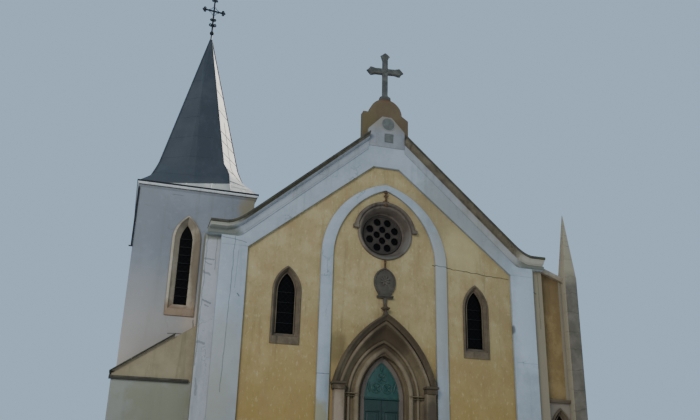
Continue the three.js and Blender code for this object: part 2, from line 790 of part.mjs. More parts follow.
// Left annex wall with its ledge and raking coping
const annexLeftEnd = -frontHalfWidth - gap;
const rakeAt = (x) => leftAnnex.lowZ + (x - leftAnnex.left) * leftAnnex.slope;
const leftAnnexShape = outline([
  [leftAnnex.left, 0],
  [annexLeftEnd, 0],
  [annexLeftEnd, rakeAt(annexLeftEnd)],
  [leftAnnex.left, rakeAt(leftAnnex.left)],
]);
place(
  'left_annex_wall',
  join(
    standing(leftAnnexShape, leftAnnex.front, frontThickness),
    box(
      leftAnnex.left - leftLedge.overhang, annexLeftEnd - leftLedge.stop,
      leftAnnex.front - leftLedge.projection, leftAnnex.front + overcut,
      leftLedge.z, leftLedge.z + leftLedge.height,
    ),
  ),
  yellowPlaster,
);
const rakeLow = leftAnnex.left - leftRake.overhang;
const leftCopingShape = outline([
  [rakeLow, rakeAt(rakeLow) + gap],
  [leftRake.end, rakeAt(leftRake.end) + gap],
  [leftRake.end, rakeAt(leftRake.end) + leftRake.highThickness],
  [rakeLow, rakeAt(rakeLow) + leftRake.lowThickness],
]);
place(
  'left_annex_coping',
  standing(leftCopingShape, leftAnnex.front - leftRake.projection, frontThickness),
  darkCoping,
);

// Right annex: front wall with ledge and lancet, side and back walls
const annexInner = frontHalfWidth + gap;
const annexFrontBack = rightAnnex.front + rightAnnex.wall;
const annexTopAt = (x) => rightAnnex.topZ - (x - frontHalfWidth) * rightAnnex.slope;
const annexWallTopAt = (x) => annexTopAt(x) - annexRoof.thickness - gap;
const pierClearance = box(
  pier.x - pier.half - gap, pier.x + pier.half + gap, pier.y - pier.half - gap, pier.y + pier.half + gap,
  -overcut, pier.clearTop,
);
const annexFrontShape = outline([
  [annexInner, 0],
  [rightAnnex.right, 0],
  [rightAnnex.right, annexWallTopAt(rightAnnex.right)],
  [annexInner, annexWallTopAt(annexInner)],
]);
const annexFront = cut(
  join(
    standing(annexFrontShape, rightAnnex.front, annexFrontBack),
    box(
      annexInner + rightLedge.inset, pier.x - pier.half - rightLedge.stop,
      rightAnnex.front - rightLedge.projection, rightAnnex.front + overcut,
      rightLedge.bottom, rightLedge.top,
    ),
  ),
  lancetHole(annexLancet, annexLancetX, rightAnnex.front, annexFrontBack),
  pierClearance,
);
place('right_annex_front', annexFront, yellowPlaster);
place('annex_window_frame', lancetFrame(annexLancet, annexLancetX, rightAnnex.front), brownStone);
place('annex_window_glass', lancetGlass(annexLancet, annexLancetX, rightAnnex.front), darkGlass);

const sideTopAt = (x) => annexWallTopAt(x) - annexRoof.drop;
const annexWallShape = outline([
  [naveHalfWidth + gap, 0],
  [rightAnnex.right, 0],
  [rightAnnex.right, sideTopAt(rightAnnex.right)],
  [annexInner, sideTopAt(annexInner)],
  [annexInner, naveWallTop - gap],
  [naveHalfWidth + gap, naveWallTop - gap],
]);
const annexHollow = box(
  naveHalfWidth, rightAnnex.right - rightAnnex.wall, annexFrontBack, rightAnnex.back - rightAnnex.wall,
  -overcut, rightAnnex.topZ,
);
const annexWalls = cut(standing(annexWallShape, annexFrontBack + gap, rightAnnex.back), annexHollow);
place('right_annex_walls', annexWalls, yellowPlaster);

// Right annex: raking coping over the front wall, and the lean-to roof behind it
const annexEaveX = rightAnnex.right + annexRoof.eave;
function annexSlab(drop) {
  return outline([
    [annexInner, annexTopAt(annexInner) - drop],
    [annexInner, annexTopAt(annexInner) - annexRoof.thickness - drop],
    [annexEaveX, annexTopAt(annexEaveX) - annexRoof.thickness - drop],
    [annexEaveX, annexTopAt(annexEaveX) - drop],
  ]);
}
const annexCoping = cut(
  standing(annexSlab(0), rightAnnex.front - annexCopingProjection, annexFrontBack),
  pierClearance,
);
place('right_annex_coping', annexCoping, paleStone);
place(
  'right_annex_roof',
  standing(annexSlab(annexRoof.drop), annexFrontBack + gap, rightAnnex.back + annexRoof.rearOverhang),
  roofTile,
);

// Corner pinnacle: a square pier under a steep stone pyramid
const pierRadius = pier.half * Math.SQRT2;
const pierProfile = [[0, 0], [pierRadius, 0], [pierRadius, pier.top], [0, pier.tip]];
const pierGeometry = new THREE.LatheGeometry(
  pierProfile.map(([r, z]) => new THREE.Vector2(r, z)), 4, Math.PI / 4,
);
pierGeometry.rotateX(Math.PI / 2);
pierGeometry.translate(pier.x, pier.y, 0);
place('corner_pinnacle', solidOf(pierGeometry), greyStone);

export default group;
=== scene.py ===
# Gabled church: lime plaster walls, stone dressings, green door, sheet metal spire with an iron cross.
# Metres, +Z up, +X to the right along the entrance front, +Y into the nave.

import json
import math
import bmesh
import bpy
from mathutils import Matrix, Vector

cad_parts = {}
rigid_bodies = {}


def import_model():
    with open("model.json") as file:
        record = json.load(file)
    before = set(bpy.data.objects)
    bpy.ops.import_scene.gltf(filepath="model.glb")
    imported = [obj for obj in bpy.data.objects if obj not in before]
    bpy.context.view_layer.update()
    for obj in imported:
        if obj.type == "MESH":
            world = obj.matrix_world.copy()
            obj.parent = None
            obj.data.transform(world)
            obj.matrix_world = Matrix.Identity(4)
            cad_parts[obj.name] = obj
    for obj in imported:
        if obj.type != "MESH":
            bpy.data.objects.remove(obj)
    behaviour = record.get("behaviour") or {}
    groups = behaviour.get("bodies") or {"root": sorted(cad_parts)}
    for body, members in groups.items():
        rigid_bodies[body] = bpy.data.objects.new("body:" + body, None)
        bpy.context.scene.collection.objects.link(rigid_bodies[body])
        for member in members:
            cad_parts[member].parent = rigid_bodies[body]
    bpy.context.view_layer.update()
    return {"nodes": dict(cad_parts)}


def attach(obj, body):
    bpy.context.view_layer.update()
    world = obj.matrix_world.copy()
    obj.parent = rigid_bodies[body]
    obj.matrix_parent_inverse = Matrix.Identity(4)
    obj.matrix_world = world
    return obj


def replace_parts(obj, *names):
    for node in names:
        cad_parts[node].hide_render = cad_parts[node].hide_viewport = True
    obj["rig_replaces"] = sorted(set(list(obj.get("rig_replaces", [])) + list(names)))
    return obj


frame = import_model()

# Studio: a wide pale floor under the whole church, lit by a pale even sky, a broad light before the
# entrance front and a high one from the right rear that catches the edges of roofs and spire.
bpy.ops.object.select_all(action="DESELECT")
bpy.ops.mesh.primitive_plane_add(size=160, location=(0, 8, -0.002))
floor = bpy.context.object
floor.name = "studio_floor"
floor_paint = bpy.data.materials.new("floor_paint")
floor_paint.use_nodes = True
floor_shader = floor_paint.node_tree.nodes["Principled BSDF"]
floor_shader.inputs["Base Color"].default_value = (0.62, 0.62, 0.61, 1)
floor_shader.inputs["Roughness"].default_value = 0.9
floor.data.materials.append(floor_paint)

sky = bpy.data.worlds.new("pale_sky")
bpy.context.scene.world = sky
sky.use_nodes = True
sky_light = sky.node_tree.nodes["Background"]
sky_light.inputs["Color"].default_value = (0.36, 0.5, 0.66, 1)
sky_light.inputs["Strength"].default_value = 1.0


def hang_light(name, place, target, size, power, color):
    bpy.ops.object.light_add(type="AREA", location=place)
    lamp = bpy.context.object
    lamp.name = name
    lamp.data.shape = "DISK"
    lamp.data.size = size
    lamp.data.energy = power
    lamp.data.color = color
    lamp.rotation_euler = (Vector(target) - Vector(place)).to_track_quat("-Z", "Y").to_euler()


hang_light("front_light", (-26, -34, 22), (0, 0, 7), 16, 9600, (1.0, 0.98, 0.95))
hang_light("rear_light", (36, 19, 54), (-5, 3, 12), 8, 34000, (1.0, 0.93, 0.82))

# Camera: low in front of the left half of the church, looking up, as the photograph was taken.
camera_yaw = math.radians(16.159)
camera_pitch = math.radians(20.571)
camera_roll = math.radians(-1.504)
camera_place = (-8.426, -24.436, 0.355)
focal_pixels, picture_width, sensor_width = 749.378, 700, 36
look = Vector((
    math.sin(camera_yaw) * math.cos(camera_pitch),
    math.cos(camera_yaw) * math.cos(camera_pitch),
    math.sin(camera_pitch),
))
level_right = Vector((math.cos(camera_yaw), -math.sin(camera_yaw), 0))
level_up = level_right.cross(look)
camera_right = level_right * math.cos(camera_roll) - level_up * math.sin(camera_roll)
camera_up = level_up * math.cos(camera_roll) + level_right * math.sin(camera_roll)
bpy.ops.object.camera_add()
camera = bpy.context.object
camera.name = "photo_camera"
turned = Matrix((camera_right, camera_up, -look)).transposed()
camera.matrix_world = Matrix.Translation(camera_place) @ turned.to_4x4()
camera.data.sensor_width = sensor_width
camera.data.lens = focal_pixels * sensor_width / picture_width
camera.data.clip_end = 400
bpy.context.scene.camera = camera

# Yellow plaster of the front, the nave and the annexes: lime plaster floated on masonry, with an
# ochre limewash that has worn patchy, gone grey where rain runs, and stays strongest low down.


def put(tree, kind, values=None, **settings):
    made = tree.nodes.new(kind)
    for label, value in settings.items():
        setattr(made, label, value)
    for label, value in (values or {}).items():
        if isinstance(value, bpy.types.NodeSocket):
            tree.links.new(value, made.inputs[label])
        else:
            made.inputs[label].default_value = value
    return made


def rgb(code):
    parts = [int(code[at:at + 2], 16) / 255 for at in (0, 2, 4)]
    return tuple(part / 12.92 if part < 0.04 else ((part + 0.055) / 1.055) ** 2.4 for part in parts) + (1,)


def start_effect(name, inputs, outputs):
    tree = bpy.data.node_groups.new(name, "ShaderNodeTree")
    for label, (kind, value) in inputs.items():
        socket = tree.interface.new_socket(label, in_out="INPUT", socket_type="NodeSocket" + kind)
        socket.default_value = value
    for label, kind in outputs.items():
        tree.interface.new_socket(label, in_out="OUTPUT", socket_type="NodeSocket" + kind)
    return tree, put(tree, "NodeGroupInput").outputs


def end_effect(tree, values):
    put(tree, "NodeGroupOutput", values)
    return tree


def calc(tree, operation, first, second=0.0):
    return put(tree, "ShaderNodeMath", {0: first, 1: second}, operation=operation).outputs[0]


def times(tree, first, second):
    return calc(tree, "MULTIPLY", first, second)


def flipped(tree, share):
    return calc(tree, "SUBTRACT", 1.0, share)


def vector(tree, operation, first, second=(0, 0, 0)):
    return put(tree, "ShaderNodeVectorMath", {0: first, 1: second}, operation=operation).outputs[0]


def measured(tree, operation, first, second=(0, 0, 0)):
    return put(tree, "ShaderNodeVectorMath", {0: first, 1: second}, operation=operation).outputs["Value"]


def scaled(tree, value, scale):
    return put(tree, "ShaderNodeVectorMath", {0: value, "Scale": scale}, operation="SCALE").outputs[0]


def own_place(tree):
    return put(tree, "ShaderNodeTexCoord").outputs["Object"]


def axes_of(tree, place):
    return put(tree, "ShaderNodeSeparateXYZ", {0: place}).outputs


def mapped(tree, value, low, high):
    return put(tree, "ShaderNodeMapRange", {"Value": value, "To Min": low, "To Max": high}).outputs[0]


def band(tree, value, low, high):
    """A soft step between two bounds of a value."""
    values = {"Value": value, "From Min": low, "From Max": high}
    return put(tree, "ShaderNodeMapRange", values, interpolation_type="SMOOTHSTEP").outputs[0]


def blend(tree, share, first, second, mode="MIX"):
    values = {0: share, 6: first, 7: second}
    return put(tree, "ShaderNodeMix", values, data_type="RGBA", blend_type=mode).outputs[2]


def tinted(tree, color, mask, share, code):
    """A colour mixed with a tint where a mask lies, as strongly as the share says."""
    return blend(tree, times(tree, mask, share), color, rgb(code))


def cloud(tree, place, scale, detail=5.0, rough=0.6):
    return put(tree, "ShaderNodeTexNoise", {
        "Vector": place, "Scale": scale, "Detail": detail, "Roughness": rough,
    }).outputs[0]


# Weathered skin: worn patches, rain streaks, fine grain and hair cracks of plaster and stone
tree, given = start_effect(
    "weathered_skin",
    {
        "Color": ("Color", (0.5, 0.5, 0.5, 1)),
        "Worn Color": ("Color", (0.6, 0.6, 0.6, 1)),
        "Dirt Color": ("Color", (0.2, 0.2, 0.2, 1)),
        "Patch Scale": ("Float", 1.0),
        "Patch Share": ("Float", 0.6),
        "Streak Share": ("Float", 0.3),
        "Crack Scale": ("Float", 0.5),
        "Crack Share": ("Float", 0.3),
        "Grain Scale": ("Float", 60.0),
    },
    {"Color": "Color", "Roughness": "Float", "Height": "Float", "Cracks": "Float"},
)
spot = own_place(tree)
patches = cloud(tree, spot, given["Patch Scale"], 7.0, 0.66)
patch_mask = times(tree, band(tree, patches, 0.42, 0.64), given["Patch Share"])
fine = cloud(tree, spot, times(tree, given["Patch Scale"], 9.0), 6.0, 0.7)
fine_mask = times(tree, band(tree, fine, 0.5, 0.72), 0.45)
tall = vector(tree, "MULTIPLY", spot, (2.6, 2.6, 0.22))
streaks = cloud(tree, tall, 1.4, 6.0, 0.62)
streak_mask = times(tree, band(tree, streaks, 0.52, 0.72), given["Streak Share"])
bend = put(tree, "ShaderNodeTexNoise", {"Vector": spot, "Scale": 2.2, "Detail": 4.0}).outputs[1]
bent = vector(tree, "MULTIPLY", bend, (0.9, 0.9, 0.9))
crack_place = vector(tree, "ADD", spot, bent)
cells = {"Vector": crack_place, "Scale": given["Crack Scale"]}
edges = put(tree, "ShaderNodeTexVoronoi", cells, feature="DISTANCE_TO_EDGE").outputs[0]
thin = flipped(tree, band(tree, edges, 0.0, 0.006))
gate = band(tree, cloud(tree, spot, 0.55, 2.0), 0.5, 0.62)
cracks = times(tree, times(tree, thin, gate), given["Crack Share"])
grain = cloud(tree, spot, given["Grain Scale"], 4.0, 0.7)
tone = blend(tree, patch_mask, given["Color"], given["Worn Color"])
tone = blend(tree, fine_mask, tone, given["Worn Color"])
tone = blend(tree, streak_mask, tone, given["Dirt Color"])
tone = blend(tree, times(tree, cracks, 0.8), tone, given["Dirt Color"])
shade = mapped(tree, grain, 0.9, 1.08)
tone = scaled(tree, tone, shade)
lift = calc(tree, "ADD", times(tree, patches, 0.5), times(tree, fine, 0.3))
lift = calc(tree, "ADD", lift, times(tree, grain, 0.22))
weathered = end_effect(tree, {
    "Color": tone,
    "Roughness": mapped(tree, fine, 0.8, 1.0),
    "Height": calc(tree, "SUBTRACT", lift, times(tree, cracks, 0.9)),
    "Cracks": cracks,
})

# Height stain: a ragged change of tone between two heights above the ground
tree, given = start_effect(
    "height_stain",
    {"Low": ("Float", 0.0), "High": ("Float", 1.0), "Ragged": ("Float", 0.6)},
    {"Mask": "Float"},
)
spot = own_place(tree)
level = axes_of(tree, spot)[2]
wave = calc(tree, "SUBTRACT", cloud(tree, spot, 0.8, 6.0), 0.5)
level = calc(tree, "ADD", level, times(tree, wave, times(tree, given["Ragged"], 4.0)))
rising = end_effect(tree, {"Mask": put(tree, "ShaderNodeMapRange", {
    "Value": level, "From Min": given["Low"], "From Max": given["High"], "To Min": 1.0, "To Max": 0.0,
}).outputs[0]})

# Stain at one place: a soft ragged spot with its own centre and reach
tree, given = start_effect(
    "stain_at",
    {"Place": ("Vector", (0, 0, 0)), "Reach": ("Vector", (1, 1, 1)), "Ragged": ("Float", 0.5)},
    {"Mask": "Float"},
)
spot = own_place(tree)
away = vector(tree, "SUBTRACT", spot, given["Place"])
away = vector(tree, "DIVIDE", away, given["Reach"])
far = measured(tree, "LENGTH", away)
wave = times(tree, calc(tree, "SUBTRACT", cloud(tree, spot, 2.2, 6.0), 0.5), given["Ragged"])
far = calc(tree, "ADD", far, times(tree, wave, 3.0))
stained = end_effect(tree, {"Mask": flipped(tree, band(tree, far, 0.45, 1.0))})

# Field between two corners, for margins and panels that are limewashed in another tone
tree, given = start_effect(
    "field_between",
    {"Low": ("Vector", (0, 0, 0)), "High": ("Vector", (1, 1, 1))},
    {"Mask": "Float"},
)
here = own_place(tree)
over = vector(tree, "SUBTRACT", here, given["Low"])
over = vector(tree, "SIGN", over)
under = vector(tree, "SUBTRACT", given["High"], here)
under = vector(tree, "SIGN", under)
both = vector(tree, "ADD", over, under)
axes = axes_of(tree, both)
least = calc(tree, "MINIMUM", calc(tree, "MINIMUM", axes[0], axes[1]), axes[2])
field_mask = end_effect(tree, {"Mask": calc(tree, "GREATER_THAN", least, 1.5)})

# Single crack of the wall face: a ragged dark line between two places, as wide as it is told
tree, given = start_effect(
    "single_crack",
    {"From": ("Vector", (0, 0, 0)), "To": ("Vector", (1, 0, 1)), "Width": ("Float", 0.01),
     "Ragged": ("Float", 0.05)},
    {"Mask": "Float"},
)
spot = own_place(tree)
shake = put(tree, "ShaderNodeTexNoise", {"Vector": spot, "Scale": 3.0, "Detail": 6.0}).outputs[1]
shake = vector(tree, "SUBTRACT", shake, (0.5, 0.5, 0.5))
shake = scaled(tree, shake, given["Ragged"])
spot = vector(tree, "ADD", spot, shake)


def on_face(value):
    return vector(tree, "MULTIPLY", value, (1, 0, 1))


first, last = on_face(given["From"]), on_face(given["To"])
reach = vector(tree, "SUBTRACT", last, first)
away = vector(tree, "SUBTRACT", on_face(spot), first)
along = measured(tree, "DOT_PRODUCT", away, reach)
whole = measured(tree, "DOT_PRODUCT", reach, reach)
share = put(tree, "ShaderNodeClamp", {0: calc(tree, "DIVIDE", along, whole)}).outputs[0]
foot = scaled(tree, reach, share)
off = measured(tree, "DISTANCE", away, foot)
part = calc(tree, "DIVIDE", off, given["Width"])
in_front = calc(tree, "LESS_THAN", axes_of(tree, spot)[1], 1.2)
line = flipped(tree, band(tree, part, 0.5, 1.0))
hairline = end_effect(tree, {"Mask": times(tree, line, in_front)})


def effect(tree, group, values):
    return put(tree, "ShaderNodeGroup", values, node_tree=group).outputs


def rise_mask(tree, low, high, ragged):
    """A mask that is whole below the first height and gone above the second."""
    return effect(tree, rising, {"Low": low, "High": high, "Ragged": ragged})["Mask"]


def between(tree, low, high):
    return effect(tree, field_mask, {"Low": low, "High": high})["Mask"]


def add_cracks(tree, color, tint, cracks):
    """Draws single cracks of (from x, from z, to x, to z, width, share) over a colour."""
    for from_x, from_z, to_x, to_z, width, share in cracks:
        mark = effect(tree, hairline, {
            "From": (from_x, 0, from_z), "To": (to_x, 0, to_z), "Width": width, "Ragged": width * 6,
        })["Mask"]
        color = tinted(tree, color, mark, share, tint)
    return color


def add_stains(tree, color, stains, ragged=0.3):
    """Lays soft stains of (place, reach, tint, share) over a colour."""
    for place, reach, tint, share in stains:
        mark = effect(tree, stained, {"Place": place, "Reach": reach, "Ragged": ragged})["Mask"]
        color = tinted(tree, color, mark, share, tint)
    return color


def start_material(name, roughness=0.9, metallic=0.0):
    material = bpy.data.materials.new(name)
    material.use_nodes = True
    shader = material.node_tree.nodes["Principled BSDF"]
    shader.inputs["Roughness"].default_value = roughness
    shader.inputs["Metallic"].default_value = metallic
    return material, material.node_tree, shader


def finish_material(tree, shader, color, height, depth, roughness=None):
    tree.links.new(color, shader.inputs["Base Color"])
    bump = put(tree, "ShaderNodeBump", {"Height": height, "Strength": 1.0, "Distance": depth})
    tree.links.new(bump.outputs[0], shader.inputs["Normal"])
    if roughness is not None:
        tree.links.new(roughness, shader.inputs["Roughness"])


def aged_skin(tree, colours, patches, streaks, cracks, grain):
    """The weathered skin, from its plain, worn and dirt colours, the (scale, share) of its patches and of
    its hair cracks, the share of its streaks and the scale of its grain."""
    plain, worn, dirt = [rgb(code) for code in colours]
    return effect(tree, weathered, {
        "Color": plain, "Worn Color": worn, "Dirt Color": dirt,
        "Patch Scale": patches[0], "Patch Share": patches[1], "Streak Share": streaks,
        "Crack Scale": cracks[0], "Crack Share": cracks[1], "Grain Scale": grain,
    })


def start_aged(name, colours, **ageing):
    material, tree, shader = start_material(name)
    return material, tree, shader, aged_skin(tree, colours, **ageing)


def finish_aged(tree, shader, color, skin, depth):
    finish_material(tree, shader, color, skin["Height"], depth, skin["Roughness"])


def aged_material(name, colours, depth, **ageing):
    material, tree, shader, skin = start_aged(name, colours, **ageing)
    finish_aged(tree, shader, skin["Color"], skin, depth)
    return material


yellow_plaster, tree, shader, skin = start_aged(
    "yellow_limewash", ("95845c", "aa9b74", "65583f"), patches=(1.0, 0.6), streaks=0.4,
    cracks=(0.28, 0.25), grain=55.0,
)
low_wall = rise_mask(tree, 2.6, 6.4, 0.35)
color = tinted(tree, skin["Color"], low_wall, 0.7, "8f7334")
spot = own_place(tree)
dabs = vector(tree, "MULTIPLY", spot, (4.2, 4.2, 2.0))
pale_dabs = band(tree, cloud(tree, dabs, 2.4, 5.0, 0.65), 0.56, 0.66)
color = tinted(tree, color, pale_dabs, 0.4, "b7ab82")
dark_dabs = band(tree, cloud(tree, dabs, 1.8, 5.0, 0.65), 0.55, 0.68)
color = tinted(tree, color, dark_dabs, 0.35, "7a653c")
warm_marks = band(tree, cloud(tree, dabs, 0.42, 6.0, 0.6), 0.48, 0.62)
color = tinted(tree, color, warm_marks, 0.35, "8f734c")
color = add_stains(tree, color, (
    ((1.9, 0, 10.2), (1.6, 3, 1.3), "7d7154", 0.4),
    ((3.1, 0, 8.9), (1.0, 3, 1.3), "a99c72", 0.55),
    ((4.4, 0, 5.2), (1.6, 3, 3.2), "73653f", 0.15),
    ((-1.7, 0, 4.9), (0.45, 3, 0.7), "6a5c3a", 0.7),
    ((0.0, 0, 8.05), (0.22, 3, 0.4), "7d6038", 0.4),
))
color = add_cracks(tree, color, "3f3728", ((1.85, 8.15, 4.9, 7.92, 0.02, 0.85),))
white_margin = aged_skin(
    tree, ("98999b", "a8aaac", "6a6a66"), patches=(0.9, 0.5), streaks=0.3,
    cracks=(0.6, 0.9), grain=60.0,
)["Color"]
white_margin = add_stains(tree, white_margin, (((-6.2, 0, 8.35), (0.5, 2, 0.16), "6b6a55", 0.7),))
white_margin = add_cracks(tree, white_margin, "4f524f", (
    (-5.98, 8.3, -5.98, 7.2, 0.014, 0.6), (-6.3, 8.4, -6.34, 4.0, 0.02, 0.5),
    (-6.34, 7.6, -6.05, 7.52, 0.045, 0.5), (-6.3, 7.45, -6.1, 7.35, 0.03, 0.5),
    (-6.34, 7.1, -6.15, 6.95, 0.05, 0.5), (-6.3, 6.15, -6.0, 6.08, 0.04, 0.6),
    (-6.2, 6.0, -6.08, 5.95, 0.03, 0.5), (-6.34, 4.75, -6.12, 4.7, 0.05, 0.45),
    (-6.3, 3.6, -6.2, 3.1, 0.04, 0.4),
))
beige_margin = blend(tree, 0.9, white_margin, rgb("7f7359"))
beige_margin = add_cracks(tree, beige_margin, "46443a", (
    (5.93, 8.3, 5.94, 5.6, 0.024, 0.8), (6.2, 8.4, 6.22, 6.2, 0.016, 0.6),
    (5.95, 7.62, 6.1, 7.52, 0.03, 0.7),
))
for low_corner, high_corner, tone in (
    ((-6.5, -0.2, -1), (-5.6, 0.93, 9.4), white_margin),
    ((-6.5, 0.006, -1), (-6.36, 0.93, 9.4), rgb("7c7768")),
    ((5.6, -0.2, -1), (6.5, 0.93, 9.4), beige_margin),
):
    color = blend(tree, between(tree, low_corner, high_corner), color, tone)
finish_aged(tree, shader, color, skin, 0.012)


def paint(material, *nodes):
    for node in nodes:
        shape = frame["nodes"][node].data
        shape.materials.clear()
        shape.materials.append(material)


paint(
    yellow_plaster, "front_wall_left", "front_wall_right", "front_wall_over_door", "gable_wall",
    "nave_wall_left", "nave_wall_right", "back_wall", "right_annex_walls",
)

# White relief of the front: two corner pilasters, the band under the gable and the pointed blind arch,
# run in lime plaster a hand's breadth proud of the wall and whitewashed with a bluish limewash.
white_plaster, tree, shader, skin = start_aged(
    "white_limewash", ("90989e", "a1a9af", "686c6a"), patches=(0.7, 0.5), streaks=0.22,
    cracks=(0.5, 0.8), grain=60.0,
)
foot = rise_mask(tree, 0.2, 3.4, 0.5)
color = tinted(tree, skin["Color"], foot, 0.5, "83806f")
color = add_stains(tree, color, (
    ((3.4, 0, 10.4), (2.8, 3, 2.6), "7f8079", 0.6),
    ((2.15, 0, 7.0), (0.6, 3, 4.0), "918e84", 0.6),
    ((-5.4, 0, 3.8), (1.0, 3, 2.4), "958f84", 0.5),
    ((5.6, 0, 6.6), (0.9, 3, 3.0), "b3bdc6", 0.5),
    ((-2.35, 0, 2.4), (0.5, 3, 1.0), "8b8566", 0.85),
    ((-5.7, 0, 2.9), (0.7, 3, 1.3), "8d8d80", 0.6),
    ((5.4, 0, 4.3), (0.25, 2, 0.3), "8a9092", 0.35),
    ((4.93, 0, 6.0), (0.14, 2, 0.22), "55585a", 0.9),
    ((2.35, 0, 3.0), (0.4, 3, 0.9), "8a8b84", 0.5),
))
color = add_cracks(tree, color, "4e5354", (
    (-5.4, 8.35, -5.5, 3.2, 0.016, 0.65), (-5.25, 7.9, -5.3, 6.6, 0.01, 0.5),
    (1.85, 8.15, 4.9, 7.92, 0.02, 0.85), (-5.17, 6.4, -5.12, 6.33, 0.03, 0.8),
    (-2.75, 4.02, -1.9, 3.98, 0.018, 0.7), (5.05, 4.85, 5.85, 4.82, 0.012, 0.4),
    (-5.85, 8.33, -5.0, 8.2, 0.02, 0.6),
))
finish_aged(tree, shader, color, skin, 0.01)


def show_only(piece):
    bpy.ops.object.select_all(action="DESELECT")
    piece.select_set(True)
    bpy.context.view_layer.objects.active = piece


def start_edit(piece):
    """Opens one piece for editing, with all of it selected."""
    show_only(piece)
    bpy.ops.object.mode_set(mode="EDIT")
    bpy.ops.mesh.select_all(action="SELECT")


def end_edit():
    bpy.ops.object.mode_set(mode="OBJECT")


def apply_place():
    bpy.ops.object.transform_apply(location=True, rotation=True, scale=True)


def apply_modifier(piece, kind, **settings):
    show_only(piece)
    made = piece.modifiers.new("shape", kind)
    for label, value in settings.items():
        setattr(made, label, value)
    bpy.ops.object.modifier_apply(modifier=made.name)


def close_up(piece, smooth_angle=35):
    """Welds a skin, turns its faces outwards and smooths it up to an angle."""
    start_edit(piece)
    bpy.ops.mesh.remove_doubles(threshold=0.0002)
    bpy.ops.mesh.normals_make_consistent(inside=False)
    end_edit()
    bpy.ops.object.shade_smooth_by_angle(angle=math.radians(smooth_angle))


def fit_piece(piece, name, material, body="building"):
    show_only(piece)
    apply_place()
    piece.name = name
    piece.data.materials.clear()
    piece.data.materials.append(material)
    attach(piece, body)
    return piece


def copy_node(node):
    source = frame["nodes"][node]
    bpy.ops.object.select_all(action="DESELECT")
    piece = source.copy()
    piece.data = source.data.copy()
    for key in list(piece.keys()):
        del piece[key]
    bpy.context.scene.collection.objects.link(piece)
    piece.parent = None
    piece.matrix_world = Matrix.Identity(4)
    show_only(piece)
    bpy.ops.mesh.customdata_custom_splitnormals_clear()
    start_edit(piece)
    bpy.ops.mesh.remove_doubles(threshold=0.0002)
    bpy.ops.mesh.dissolve_limited(angle_limit=math.radians(1))
    end_edit()
    return piece


def rounded_copy(node, name, width, material, segments=2):
    """A copy of a node's solid with worn edges, which takes the node's place."""
    piece = copy_node(node)
    apply_modifier(
        piece, "BEVEL", width=width, segments=segments, limit_method="ANGLE", angle_limit=math.radians(30),
    )
    bpy.ops.object.shade_smooth_by_angle(angle=math.radians(35))
    fit_piece(piece, name, material)
    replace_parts(piece, node)
    return piece


for node in ("corner_pilaster_left", "corner_pilaster_right", "gable_band", "arch_band"):
    rounded_copy(node, node + "_plaster", 0.014, white_plaster)

# Frieze under the gable coping: a flat plaster strip a thumb thick on the white band, with a drip edge
# below, washed in a warmer grey and stained green where water runs off the shoulders.
gable_slope = 0.885
gable_corner = (0.9, 12.895)
sweep_start, sweep_middle, sweep_end, shoulder = 5.05, 5.45, 5.75, 8.85


def gable_top(x):
    straight = gable_corner[1] - (min(x, sweep_start) - gable_corner[0]) * gable_slope
    if x <= sweep_start:
        return straight
    if x >= sweep_end:
        return shoulder
    curve = sweep_end - 2 * sweep_middle + sweep_start
    lean = sweep_middle - sweep_start
    part = (-lean + math.sqrt(lean * lean + curve * (x - sweep_start))) / curve
    return (1 - part) ** 2 * straight + 2 * part * (1 - part) * (shoulder + 0.02) + part ** 2 * shoulder


def gable_stations(first, last, drop=0.0):
    between = [first] + [x for x in (5.05, 5.2, 5.33, 5.45, 5.56, 5.66, 5.75) if first < x < last] + [last]
    return [(x, gable_top(x) - drop) for x in between]


def outline_face(points, fill="NGON"):
    bpy.ops.object.select_all(action="DESELECT")
    bpy.ops.mesh.primitive_circle_add(
        vertices=len(points), radius=1, fill_type=fill, location=(0, 0, 0), enter_editmode=True,
    )
    piece = bpy.context.object
    shape = bmesh.from_edit_mesh(piece.data)
    for vertex, point in zip(shape.verts, points):
        vertex.co = point
    bmesh.update_edit_mesh(piece.data)
    return piece


def move_out(step):
    bpy.ops.mesh.extrude_region_move(TRANSFORM_OT_translate={"value": step})


def carried(stations, open_end=False):
    """A skin drawn through stations: every one is the same closed outline of points at its own place."""
    piece = outline_face(stations[0])
    for here, there in zip(stations, stations[1:]):
        move_out((0, 0, 0))
        shape = bmesh.from_edit_mesh(piece.data)
        for vertex in [vertex for vertex in shape.verts if vertex.select]:
            vertex.co = there[min(range(len(here)), key=lambda at: (here[at] - vertex.co).length)]
        bmesh.update_edit_mesh(piece.data)
    if open_end:
        bpy.ops.mesh.delete(type="ONLY_FACE")
    end_edit()
    return piece


def mould_run(section, stations):
    """A run of moulding: its section of (y, z) pairs is carried along stations of (x, z, stretch)."""
    stations = [(*station, 1.0)[:3] for station in stations]
    x, z, stretch = stations[0]
    piece = outline_face([(x, y, z + down * stretch) for y, down in section])
    for next_x, next_z, next_stretch in stations[1:]:
        move_out((next_x - x, 0, next_z - z))
        if next_stretch != stretch:
            bpy.ops.transform.resize(
                value=(1, 1, next_stretch / stretch), center_override=(next_x, 0, next_z),
            )
        x, z, stretch = next_x, next_z, next_stretch
    end_edit()
    close_up(piece)
    return piece


def mirrored_copy(piece, name):
    twin = piece.copy()
    twin.data = piece.data.copy()
    for key in list(twin.keys()):
        if key.startswith("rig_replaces"):
            del twin[key]
    twin.name = name
    bpy.context.scene.collection.objects.link(twin)
    start_edit(twin)
    bpy.ops.transform.resize(value=(-1, 1, 1), center_override=(0, 0, 0))
    bpy.ops.mesh.flip_normals()
    end_edit()
    return twin


def join_pieces(pieces):
    bpy.ops.object.select_all(action="DESELECT")
    for piece in pieces:
        piece.select_set(True)
    bpy.context.view_layer.objects.active = pieces[0]
    bpy.ops.object.join()
    return pieces[0]


